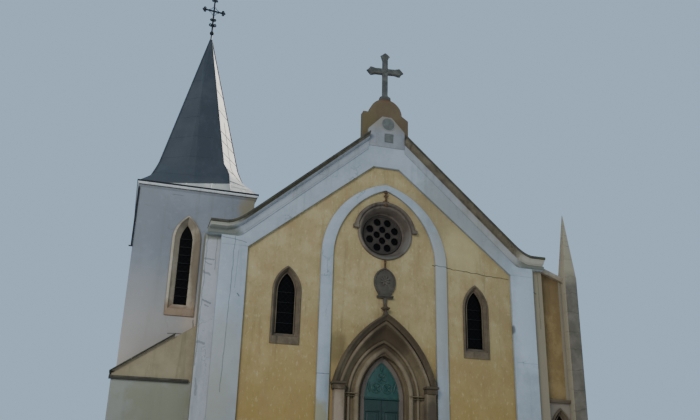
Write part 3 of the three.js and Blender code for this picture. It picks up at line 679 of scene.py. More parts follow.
frieze_plaster, tree, shader, skin = start_aged(
    "frieze_limewash", ("8a8e92", "9a9fa3", "66665c"), patches=(1.1, 0.6), streaks=0.4,
    cracks=(0.9, 0.8), grain=60.0,
)
color = add_stains(tree, skin["Color"], (((4.6, -0.15, 9.3), (3.2, 3, 2.8), "958b76", 0.35),), 0.2)
color = add_stains(tree, color, (
    ((-6.0, 0, 8.45), (1.1, 2, 0.4), "5d5f52", 0.85),
    ((6.0, 0, 8.45), (1.1, 2, 0.4), "5d5f52", 0.85),
), 0.5)
finish_aged(tree, shader, color, skin, 0.012)

frieze_section = [
    (-0.1205, 0), (-0.152, 0), (-0.152, -0.27), (-0.14, -0.29), (-0.146, -0.35), (-0.1205, -0.35),
]
frieze_line = []
for x, z in gable_stations(0.721, 6.365, 0.3005):
    lowest = max(gable_top(x) - 0.65, 8.41)
    frieze_line.append((x, z, (z - lowest) / 0.35))
frieze = mould_run(frieze_section, frieze_line)
fit_piece(frieze, "gable_frieze_right", frieze_plaster)
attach(mirrored_copy(frieze, "gable_frieze_left"), "building")

# Gable coping: long dark stones with a rounded nose, laid on a mossy moulded course that throws the
# rain clear of the band. They meet behind the pedestal and stop against its plaque in front.
coping_stone, tree, shader, skin = start_aged(
    "dark_coping_stone", ("36332a", "4f4b3f", "1e1d17"), patches=(2.2, 0.7), streaks=0.5,
    cracks=(1.2, 0.5), grain=45.0,
)
moss = band(tree, cloud(tree, own_place(tree), 3.0, 7.0), 0.48, 0.64)
color = tinted(tree, skin["Color"], moss, 0.55, "4c4a26")
finish_aged(tree, shader, color, skin, 0.02)
bed_stone, tree, shader, skin = start_aged(
    "moulded_course_stone", ("5a5141", "726855", "302b20"), patches=(2.2, 0.6), streaks=0.7,
    cracks=(1.4, 0.5), grain=45.0,
)
color = add_stains(tree, skin["Color"], (((-4.2, -0.4, 10.2), (4.0, 4, 3.6), "3d3a22", 0.7),), 0.25)
color = add_stains(tree, color, (
    ((-6.2, -0.3, 8.7), (1.4, 2, 0.9), "a09c8d", 0.95),
    ((6.2, -0.3, 8.7), (1.4, 2, 0.9), "a09c8d", 0.95),
))
finish_aged(tree, shader, color, skin, 0.014)
slab_section = [
    (-0.385, -0.105), (-0.4, -0.1), (-0.41, -0.085), (-0.41, -0.022), (-0.4, -0.006), (-0.38, 0), (0.88, 0),
    (0.9, -0.02), (0.9, -0.105),
]
bed_section = [
    (-0.292, -0.19), (-0.31, -0.162), (-0.335, -0.14), (-0.35, -0.128), (-0.37, -0.1055), (0.9, -0.1055),
    (0.9, -0.19),
]
lower_course_section = [
    (-0.17, -0.3), (-0.17, -0.285), (-0.205, -0.272), (-0.25, -0.24), (-0.285, -0.2), (-0.291, -0.1905),
    (0.9, -0.1905), (0.9, -0.3),
]
stone_ends = [0.918, 1.72, 2.6, 3.45, 4.25, 5.05, 5.68, 6.3]
for section, label, stone, slot in (
    (slab_section, "slabs", coping_stone, "dark_coping"), (bed_section, "course", bed_stone, "dark_coping"),
    (lower_course_section, "lower_course", frieze_plaster, "white_plaster"),
):
    top, foot = 0 if label == "slabs" else section[-2][1], section[-1][1]
    front_end = [point for point in section if point[0] < 0] + [(-0.002, top), (-0.002, foot)]
    rear_end = [(0.332, foot), (0.332, top), (0.9, top), (0.9, foot)]
    stones = [
        mould_run(front_end, gable_stations(0.7215, 0.914)),
        mould_run(rear_end, gable_stations(0.002, 0.914)),
    ]
    for first, last in zip(stone_ends, stone_ends[1:]):
        stones.append(mould_run(section, gable_stations(first + 0.003, last - 0.003)))
    right_run = fit_piece(join_pieces(stones), f"gable_{label}_right", stone)
    left_run = mirrored_copy(right_run, f"gable_{label}_left")
    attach(left_run, "building")
    # On the right slope the lower course takes the dark course stone instead of the limewash of the left
    # slope: painted shade of its underside, seen from below on that side.
    if label == "lower_course":
        right_run.data.materials[0] = bed_stone
    if label == "slabs":
        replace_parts(right_run, "gable_coping_right")
        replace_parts(left_run, "gable_coping_left")

# Pedestal on the gable: a block of tan stone with a half round head, and in front of it a whitewashed
# gabled plaque with a sunk roundel and a sunk square panel, both edged with a small roll.
tan_stone, tree, shader, skin = start_aged(
    "tan_pedestal_stone", ("5c4d36", "695a42", "3c3323"), patches=(1.2, 0.5), streaks=0.25,
    cracks=(1.4, 0.3), grain=50.0,
)
color = add_stains(tree, skin["Color"], (
    ((-0.75, 0, 13.6), (0.5, 1, 0.7), "5b5133", 0.6),
    ((0.0, 0.1, 14.66), (0.34, 0.4, 0.09), "5e3a24", 0.85),
))
finish_aged(tree, shader, color, skin, 0.015)
pedestal = rounded_copy("gable_pedestal", "gable_pedestal_stone", 0.018, tan_stone)
plaque_lime, tree, shader, skin = start_aged(
    "plaque_limewash", ("808184", "8f9194", "585854"), patches=(2.0, 0.5), streaks=0.3,
    cracks=(1.5, 0.4), grain=60.0,
)
head = rise_mask(tree, 13.5, 13.1, 0.08)
color = tinted(tree, skin["Color"], head, 0.75, "7c7565")
finish_aged(tree, shader, color, skin, 0.01)
pedestal.data.materials.append(plaque_lime)
for face in pedestal.data.polygons:
    if face.center.y < -0.004:
        face.material_index = 1


def new_cube(middle=(0, 0, 0), size=(1, 1, 1)):
    bpy.ops.object.select_all(action="DESELECT")
    bpy.ops.mesh.primitive_cube_add(size=1, location=middle, scale=size)
    apply_place()
    return bpy.context.object


def carved_block(low, high, bevel=0.02):
    """A dressed block with worn edges, between two corners."""
    middle = [(a + b) / 2 for a, b in zip(low, high)]
    piece = new_cube(middle, [b - a for a, b in zip(low, high)])
    apply_modifier(piece, "BEVEL", width=bevel, segments=2)
    bpy.ops.object.shade_smooth_by_angle(angle=math.radians(35))
    return piece


def ring_around(section, centre, steps=32, turn=2 * math.pi, start=0.0):
    """A ring in the plane of the front: its section of (radius, y) pairs is spun round a centre."""
    x, z = centre
    whole = abs(turn - 2 * math.pi) < 1e-6
    points = [
        (x + radius * math.cos(start), y, z + radius * math.sin(start)) for radius, y in section
    ]
    piece = outline_face(points, "NOTHING" if whole else "NGON")
    bpy.ops.mesh.spin(steps=steps, dupli=False, angle=turn, center=(x, 0, z), axis=(0, 1, 0))
    end_edit()
    close_up(piece)
    return piece


def roll_section(radius, y, size, sides=8, depth=None):
    """The section of a roll, round or, where a depth is given, oval."""
    turns = [2 * math.pi * side / sides for side in range(sides)]
    depth = size if depth is None else depth
    return [(radius + size * math.cos(turn), y + depth * math.sin(turn)) for turn in turns]


plaque_stone = aged_material(
    "grey_plaque_stone", ("555854", "696b66", "383731"), patches=(5.0, 0.6), streaks=0.5,
    cracks=(2.0, 0.3), grain=60.0, depth=0.008,
)
roundel_centre = (0.05, 13.53)
roundel_edge = ring_around(roll_section(0.262, -0.145, 0.016), roundel_centre, 36)
roundel_disc = ring_around([
    (0.0, -0.1405), (0.0, -0.152), (0.09, -0.152), (0.12, -0.146), (0.25, -0.146), (0.25, -0.1405),
], roundel_centre, 36)
panel_stone = carved_block((-0.085, -0.146, 12.775), (0.245, -0.1405, 13.115), 0.002)
fit_piece(roundel_edge, "plaque_roundel_edge", plaque_lime)
fit_piece(join_pieces([roundel_disc, panel_stone]), "plaque_fields", plaque_stone)
panel_edge = outline_face([
    (x, -0.138, z) for x, z in ((-0.1, 12.76), (0.26, 12.76), (0.26, 13.13), (-0.1, 13.13))
])
bpy.ops.mesh.inset(thickness=0.022)
bpy.ops.mesh.delete(type="FACE")
end_edit()
apply_modifier(panel_edge, "SOLIDIFY", thickness=0.02, offset=0)
apply_modifier(panel_edge, "BEVEL", width=0.006, segments=2)
close_up(panel_edge)
fit_piece(panel_edge, "plaque_panel_edge", plaque_lime)

# Stone cross on the gable: chamfered shaft and arms of grey sandstone that flare to stubby points,
# each tipped with a small knob, standing on a stepped foot and pinned into the pedestal.
cross_stone = aged_material(
    "grey_cross_stone", ("3f403b", "5d5e57", "22231f"), patches=(3.5, 0.7), streaks=0.6,
    cracks=(2.0, 0.3), grain=45.0, depth=0.012,
)
rounded_copy("gable_cross", "gable_cross_stone", 0.028, cross_stone, segments=1)


def knob(name, place, radius, material, flatten=1.0):
    bpy.ops.object.select_all(action="DESELECT")
    bpy.ops.mesh.primitive_uv_sphere_add(segments=16, ring_count=10, radius=radius, location=place)
    piece = bpy.context.object
    start_edit(piece)
    bpy.ops.transform.resize(value=(1, flatten, 1))
    bpy.ops.mesh.bevel(offset=radius * 0.03, segments=1)
    end_edit()
    bpy.ops.object.shade_smooth_by_angle(angle=math.radians(50))
    return fit_piece(piece, name, material)


cross_turn = math.radians(-8)
for label, along, up in (
    ("left", -0.7, 16.0), ("right", 0.7, 16.0), ("left_upper", -0.575, 16.145),
    ("left_lower", -0.575, 15.855), ("right_upper", 0.575, 16.145), ("right_lower", 0.575, 15.855),
    ("top_left", -0.145, 16.7), ("top_right", 0.145, 16.7),
):
    place = (along * math.cos(cross_turn), 0.165 + along * math.sin(cross_turn), up)
    knob(f"cross_knob_{label}", place, 0.046, cross_stone)
knob("cross_boss", (0, 0.07, 16.0), 0.08, cross_stone, 0.7)

# Brown sandstone of the window and portal dressings: fine grained, darker in the hollows, with pale
# scoured faces and sooty streaks.
brown_stone = aged_material(
    "brown_sandstone", ("564a3a", "74664f", "2a2218"), patches=(1.8, 0.6), streaks=0.75,
    cracks=(0.9, 0.4), grain=50.0, depth=0.01,
)

# Rose window: a splayed stone ring with a roll at its rim and one at the tracery, a hood mould over its
# upper half that ends in two block stops, and a leafy finial whose rod climbs to the blind arch.
sooty_stone, tree, shader, skin = start_aged(
    "sooty_sandstone", ("50463c", "665b4f", "2a231b"), patches=(1.8, 0.6), streaks=0.7,
    cracks=(1.2, 0.4), grain=50.0,
)
color = add_stains(tree, skin["Color"], (
    ((-0.95, 0, 9.0), (0.4, 0.4, 0.9), "776b5a", 0.7),
    ((0.9, 0, 8.7), (0.42, 0.4, 0.7), "67625a", 0.8),
    ((0.1, 0, 8.25), (0.6, 0.4, 0.2), "5d5b50", 0.75),
))
finish_aged(tree, shader, color, skin, 0.012)
rose_centre = (0, 9.19)
ring_section = [
    (0.768, 0.349), (0.768, 0.285), (0.785, 0.262), (0.815, 0.258), (0.828, 0.235), (0.845, 0.18),
    (0.86, 0.135), (0.874, 0.1), (0.89, 0.062), (0.9, 0.035), (0.915, 0.018), (0.925, -0.03),
    (0.945, -0.062), (0.98, -0.078), (1.015, -0.07), (1.035, -0.045), (1.04, -0.0005), (1.0, -0.0005),
    (1.0, 0.349),
]
rose_ring = fit_piece(ring_around(ring_section, rose_centre, 64), "rose_ring", sooty_stone)
hood_section = [
    (1.03, -0.001), (1.03, -0.085), (1.045, -0.12), (1.07, -0.148), (1.12, -0.15), (1.15, -0.125),
    (1.165, -0.06), (1.175, -0.001),
]
stop_angle = math.radians(7)
rose_hood = ring_around(hood_section, rose_centre, 40, math.pi - 2 * stop_angle, stop_angle)


def foot_inwards(piece, share):
    bpy.ops.object.mode_set(mode="EDIT")
    bpy.ops.mesh.select_mode(type="FACE")
    bpy.ops.mesh.select_all(action="DESELECT")
    shape = bmesh.from_edit_mesh(piece.data)
    shape.faces.ensure_lookup_table()
    min(shape.faces, key=lambda face: face.calc_center_median().z).select_set(True)
    bmesh.update_edit_mesh(piece.data)
    bpy.ops.transform.resize(value=(share, share, 1))
    end_edit()


stops = []
for side in (-1, 1):
    stop = carved_block((1.12 * side - 0.1, -0.16, 9.24), (1.12 * side + 0.1, -0.001, 9.38), 0.022)
    foot_inwards(stop, 0.7)
    stops.append(stop)
fit_piece(join_pieces([rose_hood, *stops]), "rose_hood", sooty_stone)


def turned_stem(profile, centre, sides=16):
    """A turned stem standing upright: its profile of (radius, z) pairs is spun round its own axis."""
    x, y = centre
    piece = outline_face([(x + radius, y, z) for radius, z in profile], "NOTHING")
    bpy.ops.mesh.spin(steps=sides, dupli=False, angle=2 * math.pi, center=(x, y, 0), axis=(0, 0, 1))
    end_edit()
    close_up(piece)
    return piece


def leaf_shape(length, width, thick):
    """One carved leaf, root at the origin, pointing up: a cupped blade with a curled tip."""
    bpy.ops.object.select_all(action="DESELECT")
    bpy.ops.mesh.primitive_uv_sphere_add(segments=10, ring_count=8, radius=0.5, location=(0, 0, 0.5))
    piece = bpy.context.object
    apply_place()
    for vertex in piece.data.vertices:
        rise = vertex.co.z
        pinch = 0.35 + 0.9 * rise * (1.25 - rise)
        vertex.co.x *= width * 2 * pinch
        vertex.co.y = vertex.co.y * thick * 2 - thick * 1.6 * rise ** 3
        vertex.co.z = rise * length
    bpy.ops.object.shade_smooth_by_angle(angle=math.radians(60))
    return piece


def set_leaf(place, tilt, size, turn=0.0):
    piece = leaf_shape(*size)
    show_only(piece)
    piece.matrix_world = (
        Matrix.Translation(place) @ Matrix.Rotation(turn, 4, "Z") @ Matrix.Rotation(tilt, 4, "Y")
    )
    apply_place()
    return piece


leaves = [turned_stem([
    (0.0, 10.2), (0.085, 10.2), (0.095, 10.26), (0.06, 10.33), (0.045, 10.42), (0.03, 10.46), (0.03, 10.6),
    (0.028, 10.82), (0.0, 10.82),
], (0, -0.07))]
for height, reach in ((10.3, 0.13), (10.55, 0.1), (10.7, 0.08)):
    for side in (-1, 1):
        place, tilt = (0.01 * side, -0.075, height), side * math.radians(58)
        leaves.append(set_leaf(place, tilt, (reach, 0.045, 0.028)))
leaves.append(set_leaf((0, -0.085, 10.34), 0.0, (0.16, 0.06, 0.04)))
rusty_iron, tree, shader = start_material("rusty_iron", 0.85, 0.1)
spot = own_place(tree)
scale = band(tree, cloud(tree, spot, 18.0, 6.0), 0.4, 0.65)
color = blend(tree, scale, rgb("5e4426"), rgb("35271b"))
finish_material(tree, shader, color, cloud(tree, spot, 60.0, 4.0), 0.003)
fit_piece(join_pieces(leaves), "rose_finial", rusty_iron)
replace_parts(rose_ring, "rose_frame")

# Rose tracery: one pierced disc of sandstone, eight round lights about four, every light edged with a
# worn roll, dark leaded glass behind it.
tracery_stone = aged_material(
    "tracery_sandstone", ("332c26", "423a32", "1a1612"), patches=(2.4, 0.6), streaks=0.6,
    cracks=(1.4, 0.4), grain=50.0, depth=0.012,
)
rounded_copy("rose_tracery", "rose_tracery_stone", 0.012, tracery_stone)
rims = []
for count, ring, turn, size in ((8, 0.52, 0.5, 0.153), (4, 0.212, 0.0, 0.139)):
    for light in range(count):
        angle = (light + turn) / count * 2 * math.pi
        centre = (ring * math.cos(angle), rose_centre[1] + ring * math.sin(angle))
        rims.append(ring_around(roll_section(size, 0.29, 0.01, 6), centre, 20))
rims.append(ring_around(roll_section(0.715, 0.285, 0.03, 8), rose_centre, 48))
fit_piece(join_pieces(rims), "rose_light_rims", tracery_stone)

# Leaded glass: small quarries of dark old glass in lead cames, slightly bowed, seen as near black.
dark_glass, tree, shader = start_material("leaded_glass", 0.3)
spot = own_place(tree)
turned = put(tree, "ShaderNodeMapping", {"Vector": spot, "Rotation": (0, math.radians(45), 0)}).outputs[0]
parts = axes_of(tree, turned)
lead = None
for part in (parts[0], parts[2]):
    within = calc(tree, "FRACT", calc(tree, "DIVIDE", part, 0.13))
    line = band(tree, calc(tree, "ABSOLUTE", calc(tree, "SUBTRACT", within, 0.5)), 0.44, 0.47)
    lead = line if lead is None else calc(tree, "MAXIMUM", lead, line)
color = blend(tree, lead, rgb("070706"), rgb("151412"))
wavy = cloud(tree, spot, 7.0, 3.0)
finish_material(tree, shader, color, calc(tree, "ADD", times(tree, lead, 0.5), wavy), 0.004)
shader.inputs["Specular IOR Level"].default_value = 0.06
paint(
    dark_glass, "rose_glass", "window_glass_left", "window_glass_right", "tower_window_glass",
    "annex_window_glass", "nave_glass_left", "nave_glass_right",
)

# Lancet windows of the front and the annex: splayed sandstone frames with a roll round the outer edge,
# a sloping sill in two blocks, and iron saddle bars that hold the leaded glass.


def arched(arch, section, foot, centre_x=0.0, steps=14, sink=0.0):
    """A moulding round a pointed arch: (offset, y) pairs run up the jamb and are spun to the apex, round a
    centre that lies in the springing line or sunk below it."""
    half, spring, apex = arch
    rise = apex - spring + sink
    across = (rise * rise - half * half - sink * sink) / (2 * half)
    radius = math.hypot(half + across, sink)
    furthest = radius + max(max(offset for offset, y in section), 0.0)
    piece = outline_face([(half + offset, y, foot) for offset, y in section])
    if spring > foot:
        move_out((0, 0, spring - foot))
    bpy.ops.mesh.spin(
        steps=steps, dupli=False, angle=math.acos(across / furthest) - math.atan2(sink, half + across),
        center=(-across, 0, spring - sink), axis=(0, 1, 0),
    )
    bpy.ops.mesh.select_all(action="SELECT")
    bpy.ops.mesh.bisect(plane_co=(0, 0, 0), plane_no=(1, 0, 0), clear_inner=True)
    end_edit()
    apply_modifier(piece, "MIRROR", use_axis=(True, False, False), use_clip=True, merge_threshold=0.001)
    close_up(piece)
    for vertex in piece.data.vertices:
        vertex.co.x += centre_x
    return piece


black_iron, tree, shader = start_material("old_iron", 0.55, 0.6)
spot = own_place(tree)
rust = band(tree, cloud(tree, spot, 14.0, 6.0), 0.5, 0.66)
color = blend(tree, times(tree, rust, 0.6), rgb("17191b"), rgb("33271f"))
finish_material(tree, shader, color, cloud(tree, spot, 70.0, 4.0), 0.002)

lancets = (
    ("window_frame_left", "left", (0.505, 6.67, 7.57), 4.87, 5.25, 0.19, -3.505, 0.0),
    ("window_frame_right", "right", (0.505, 6.67, 7.57), 4.87, 5.25, 0.19, 3.505, 0.0),
    ("annex_window_frame", "annex", (0.41, 2.65, 3.4), 0.7, 1.08, 0.19, 7.03, 0.5),
)
for node, label, arch, sill, glass_foot, rim, x, wall in lancets:
    rounded_copy(node, node + "_stone", 0.016, brown_stone)
    outer_roll = arched(arch, roll_section(-0.045, wall - 0.04, 0.022), sill + 0.03, x)
    inner = (arch[0] - rim, arch[1], arch[2] - 1.15 * rim)
    inner_roll = arched(inner, roll_section(0, wall + 0.09, 0.02), glass_foot, x)
    fit_piece(join_pieces([outer_roll, inner_roll]), f"lancet_rolls_{label}", brown_stone)
    bars = []
    for step in range(1, 5):
        height = glass_foot + step * (arch[1] - glass_foot) / 4
        bars.append(carved_block((x - inner[0] - 0.01, wall + 0.155, height - 0.009),
                                 (x + inner[0] + 0.01, wall + 0.172, height + 0.009), 0.004))
    fit_piece(join_pieces(bars), f"saddle_bars_{label}", black_iron)

# Medallion under the rose: a pear shaped grey stone plate with a raised rim and a plain eight-leaved
# rosette, set on a small ledge, with a stalk that joins it to the window above and the portal below.
medallion_half = [
    (0.0, 7.87), (0.06, 7.83), (0.17, 7.78), (0.28, 7.69), (0.36, 7.57), (0.4, 7.43), (0.405, 7.3),
    (0.385, 7.17), (0.34, 7.05), (0.28, 6.95), (0.245, 6.88), (0.235, 6.825),
]
medallion_line = [(-x, z) for x, z in medallion_half] + [(x, z) for x, z in reversed(medallion_half[1:])]
medallion = outline_face([(x, -0.002, z) for x, z in medallion_line])
move_out((0, -0.06, 0))
bpy.ops.mesh.inset(thickness=0.012, depth=0.02)
bpy.ops.mesh.inset(thickness=0.035, depth=0.0)
bpy.ops.mesh.inset(thickness=0.014, depth=-0.028)
end_edit()
close_up(medallion)
petals = [medallion]
rosette_z, plate_z = 7.38, 7.33
for petal in range(8):
    turn = petal * math.pi / 4 + math.pi / 8
    place = (0.02 * math.sin(turn), -0.058, rosette_z + 0.02 * math.cos(turn))
    petals.append(set_leaf(place, turn, (0.17, 0.062, 0.022)))
petals.append(ring_around([
    (0.0, -0.05), (0.0, -0.1), (0.03, -0.095), (0.045, -0.075), (0.048, -0.05),
], (0, rosette_z), 16))
for (x, z), (next_x, next_z) in zip(medallion_line, medallion_line[1:]):
    place = ((x + next_x) * 0.44, plate_z + ((z + next_z) / 2 - plate_z) * 0.92)
    petals.append(ring_around([(0.0, -0.075), (0.0, -0.096), (0.012, -0.093), (0.016, -0.078)], place, 8))
ledge = mould_run([
    (-0.002, 0), (-0.17, 0), (-0.17, -0.022), (-0.15, -0.04), (-0.11, -0.055), (-0.09, -0.085),
    (-0.002, -0.085),
], [(-0.29, 6.82), (0.29, 6.82)])
lower_stalk = turned_stem(
    [(0, 6.3), (0.05, 6.3), (0.045, 6.45), (0.06, 6.6), (0.075, 6.73), (0, 6.73)], (0, -0.06),
)
upper_stalk = turned_stem(
    [(0, 7.82), (0.05, 7.82), (0.028, 7.9), (0.03, 8.06), (0.045, 8.14), (0, 8.14)], (0, -0.05),
)
medallion_stone = aged_material(
    "grey_medallion_stone", ("423d34", "5c5549", "241f19"), patches=(4.0, 0.6), streaks=0.5,
    cracks=(2.0, 0.3), grain=60.0, depth=0.01,
)
fit_piece(upper_stalk, "medallion_hanger", rusty_iron)
medallion = join_pieces([*petals, ledge, lower_stalk])
fit_piece(medallion, "medallion_carving", medallion_stone)
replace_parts(medallion, "medallion")

# Portal: a broad hollow, darkened under the apex as painted shade, between a pale roll under the hood and a
# pale roll round the doorway, with a second hollow and a splayed inner reveal. Flat pilasters stand outside
# it, and thin imposts mark the springing.


def portal_finish(name, base, worn, dirt, apex_shade):
    material, tree, shader, skin = start_aged(
        name, (base, worn, dirt), patches=(1.6, 0.6), streaks=0.5, cracks=(0.9, 0.4), grain=50.0,
    )
    # Painted shade: the apex_shade share darkens the hollow under the apex, and a brown patch darkens the
    # shaded left outer roll. A dark mark lies on the right pilaster and a pale patch on the left one.
    color = add_stains(tree, skin["Color"], (
        ((0.1, 0, 5.3), (1.2, 2, 0.9), "3e311f", apex_shade),
        ((-1.45, -0.2, 4.3), (0.4, 0.25, 0.9), "63563f", 0.8),
        ((1.7, 0, 2.9), (0.4, 2, 0.75), "3a3024", 0.85),
        ((-1.7, 0, 2.7), (0.3, 2, 1.0), "907f6d", 0.8),
    ))
    finish_aged(tree, shader, color, skin, 0.01)
    return material


hollow_stone = portal_finish("portal_hollow_stone", "5d5039", "716349", "352a1c", 0.97)
pale_stone = portal_finish("portal_pale_stone", "6d5f49", "7f725b", "463b2b", 0.75)
reveal_stone = portal_finish("portal_reveal_stone", "5b5046", "6d6257", "352e27", 0.3)
hood_stone = portal_finish("portal_hood_stone", "453a29", "5b4e39", "2a2218", 0.2)
portal_line, outer_line = (1.16, 3.48, 5.13), (1.6, 3.6, 5.84)
portal_sink, outer_sink = 0.2, 0.9
hollow_width = 0.44
hollow_section = [
    (0.5, 0.24), (0.5, -0.0005), (0.64, -0.0005), (0.64, -0.03), (0.52, -0.04), (0.51, -0.2),
    (0.4, -0.205), (0.375, -0.19), (0.35, -0.155), (0.32, -0.1), (0.28, -0.05), (0.22, -0.01),
    (0.15, 0.025), (0.08, 0.045), (0.0, 0.05), (-0.05, 0.04), (-0.075, 0.02), (-0.08, -0.02),
    (-0.1, -0.035), (-0.23, -0.035), (-0.245, -0.02), (-0.25, 0.3), (0.0, 0.3),
]


def arch_point(arch, sink, part):
    """A point on the line of a pointed arch, from its springing (0) to its apex (1)."""
    half, spring, apex = arch
    rise = apex - spring + sink
    across = (rise * rise - half * half - sink * sink) / (2 * half)
    first = math.atan2(sink, half + across)
    turn = first + (math.atan2(rise, across) - first) * part
    radius = math.hypot(rise, across)
    return radius * math.cos(turn) - across, spring - sink + radius * math.sin(turn)


hollow_ends = [((portal_line[0], 0.0), (outer_line[0], 0.0))]
arch_steps = 22
for step in range(arch_steps + 1):
    part = step / arch_steps
    hollow_ends.append((
        arch_point(portal_line, portal_sink, part), arch_point(outer_line, outer_sink, part),
    ))
hollow_stations = []
for (inner_x, inner_z), (outer_x, outer_z) in hollow_ends:
    hollow_stations.append([
        Vector((
            inner_x + (outer_x - inner_x) * out / hollow_width, y,
            inner_z + (outer_z - inner_z) * out / hollow_width,
        ))
        for out, y in hollow_section
    ])
portal_hollow = carried(hollow_stations, open_end=True)
apply_modifier(portal_hollow, "MIRROR", use_axis=(True, False, False), use_clip=True, merge_threshold=0.001)
close_up(portal_hollow)
inner_hollow = arched((0.686, 3.3, 4.62), [
    (0.1, 0.275), (0.1, 0.15), (0.12, 0.17), (0.15, 0.175), (0.18, 0.16), (0.2, 0.13), (0.21, 0.09),
    (0.31, 0.07), (0.31, 0.275),
], 0.0, steps=18)
inner_reveal = arched((0.686, 3.3, 4.62), [
    (0.0, 0.275), (0.0, 0.1985), (-0.065, 0.1985), (-0.062, 0.19), (-0.02, 0.174), (0.04, 0.16),
    (0.08, 0.16), (0.098, 0.188), (0.098, 0.275),
], 0.0, steps=18)
hollow_parts, pale_parts = [portal_hollow, inner_hollow], []
for line, section, sink in (
    (outer_line, roll_section(0, -0.205, 0.062, 12), outer_sink),
    (portal_line, roll_section(0.08, 0.0, 0.05, 12), portal_sink),
    (portal_line, roll_section(-0.19, -0.045, 0.08, 12, 0.06), portal_sink),
):
    pale_parts.append(arched(line, section, 0.0, steps=arch_steps, sink=sink))
for side in (-1, 1):
    for parts, reach, fronts, heights, bevel in (
        (hollow_parts, (0.9, 1.46), (-0.14, 0.1), (3.395, 3.43), 0.008),
        (hollow_parts, (0.92, 1.42), (-0.11, 0.1), (3.325, 3.345), 0.008),
        (hollow_parts, (0.9, 1.45), (-0.15, 0.1), (0.0, 0.62), 0.015),
        (pale_parts, (1.45, 1.79), (-0.285, -0.0005), (0.7, 3.51), 0.012),
        (pale_parts, (1.41, 1.83), (-0.32, -0.0005), (0.0, 0.702), 0.02),
    ):
        low_x, high_x = sorted(side * x for x in reach)
        parts.append(carved_block((low_x, fronts[0], heights[0]), (high_x, fronts[1], heights[1]), bevel))
portal_stone = fit_piece(join_pieces(hollow_parts), "portal_hollow_orders", hollow_stone)
fit_piece(join_pieces(pale_parts), "portal_rolls", pale_stone)
fit_piece(inner_reveal, "portal_inner_reveal", reveal_stone)
lining = copy_node("portal_surround")
start_edit(lining)
bpy.ops.mesh.bisect(plane_co=(0, 0.2755, 0), plane_no=(0, 1, 0), use_fill=True, clear_inner=True)
end_edit()
bpy.ops.object.shade_smooth_by_angle(angle=math.radians(30))
fit_piece(lining, "portal_lining", hollow_stone)
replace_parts(portal_stone, "portal_surround")

# Hood mould of the portal: a deep drip mould with a rounded nose and a sloping throat on its inner side. It
# springs from block stops on small brackets and carries a carved finial at its point.
hood_piece = arched((1.825, 3.74, 6.16), [
    (0, -0.0005), (0, -0.13), (-0.006, -0.3), (-0.018, -0.36), (-0.036, -0.38), (-0.058, -0.374),
    (-0.09, -0.335), (-0.13, -0.295), (-0.17, -0.27), (-0.195, -0.258), (-0.2, -0.0005),
], 3.72, steps=arch_steps, sink=outer_sink)
hood_parts = [hood_piece]
for side in (-1, 1):
    low_x, high_x = sorted((side * 1.41, side * 1.87))
    hood_parts.append(carved_block((low_x, -0.4, 3.665), (high_x, -0.0005, 3.745), 0.014))
    bracket = carved_block((low_x + 0.03, -0.35, 3.5), (high_x - 0.045, -0.0005, 3.667), 0.02)
    foot_inwards(bracket, 0.78)
    hood_parts.append(bracket)
hood_parts.append(turned_stem([
    (0, 6.06), (0.09, 6.06), (0.11, 6.13), (0.075, 6.2), (0.052, 6.26), (0.06, 6.32), (0.1, 6.36),
    (0.105, 6.4), (0.055, 6.44), (0.045, 6.5), (0, 6.5),
], (0, -0.14)))
for sixth in range(6):
    turn = sixth * math.pi / 3
    hood_parts.append(set_leaf((0, -0.14, 6.3), math.radians(62), (0.17, 0.07, 0.04), turn))
hood = fit_piece(join_pieces(hood_parts), "portal_hood_mould", hood_stone)
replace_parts(hood, "portal_hood")

# Main door: two framed and panelled leaves in teal green oil paint, worn pale in patches, under a
# moulded transom and a fixed carved head. The leaves turn inwards on pivots in the jambs.
green_paint, tree, shader = start_material("teal_door_paint", 0.55)
spot = own_place(tree)
board = vector(tree, "MULTIPLY", spot, (26.0, 26.0, 1.1))
grain_lines = cloud(tree, board, 1.6, 6.0, 0.6)
worn = band(tree, cloud(tree, spot, 5.0, 8.0, 0.7), 0.5, 0.7)
color = blend(tree, times(tree, worn, 0.5), rgb("1d423b"), rgb("3d6458"))
color = blend(tree, times(tree, band(tree, grain_lines, 0.45, 0.75), 0.5), color, rgb("10241f"))
leaves_low = rise_mask(tree, 3.2, 3.35, 0.0)
color = tinted(tree, color, leaves_low, 0.7, "0c1a15")
finish_material(tree, shader, color, grain_lines, 0.004)


def pick_faces(piece, wanted):
    """In edit mode, selects the faces whose middle and normal pass the test."""
    bpy.ops.mesh.select_mode(type="FACE")
    bpy.ops.mesh.select_all(action="DESELECT")
    shape = bmesh.from_edit_mesh(piece.data)
    for face in shape.faces:
        face.select_set(wanted(face.calc_center_median(), face.normal))
    bmesh.update_edit_mesh(piece.data)


leaf = new_cube((0.3395, 0.235, 1.786), (0.673, 0.07, 2.956))
bpy.ops.object.mode_set(mode="EDIT")
for height in (0.46, 1.2, 1.32, 2.98):
    bpy.ops.mesh.select_all(action="SELECT")
    bpy.ops.mesh.bisect(plane_co=(0, 0, height), plane_no=(0, 0, 1))
for panel_low, panel_high in ((0.46, 1.2), (1.32, 2.98)):
    for facing in (-1, 1):
        pick_faces(leaf, lambda middle, normal: (
            panel_low < middle.z < panel_high and normal.y * facing > 0.9
        ))
        bpy.ops.mesh.inset(thickness=0.085, depth=0.0)
        bpy.ops.mesh.inset(thickness=0.012, depth=0.008)
        bpy.ops.mesh.inset(thickness=0.02, depth=-0.028)
        bpy.ops.mesh.inset(thickness=0.04, depth=0.0)
        bpy.ops.mesh.inset(thickness=0.028, depth=0.012)
end_edit()
apply_modifier(leaf, "BEVEL", width=0.003, segments=1, limit_method="ANGLE", angle_limit=math.radians(30))
edge_bead = carved_block((0.006, 0.19, 0.34), (0.03, 0.2005, 3.24), 0.005)
top_bead = carved_block((0.03, 0.19, 2.9), (0.606, 0.2005, 2.93), 0.006)
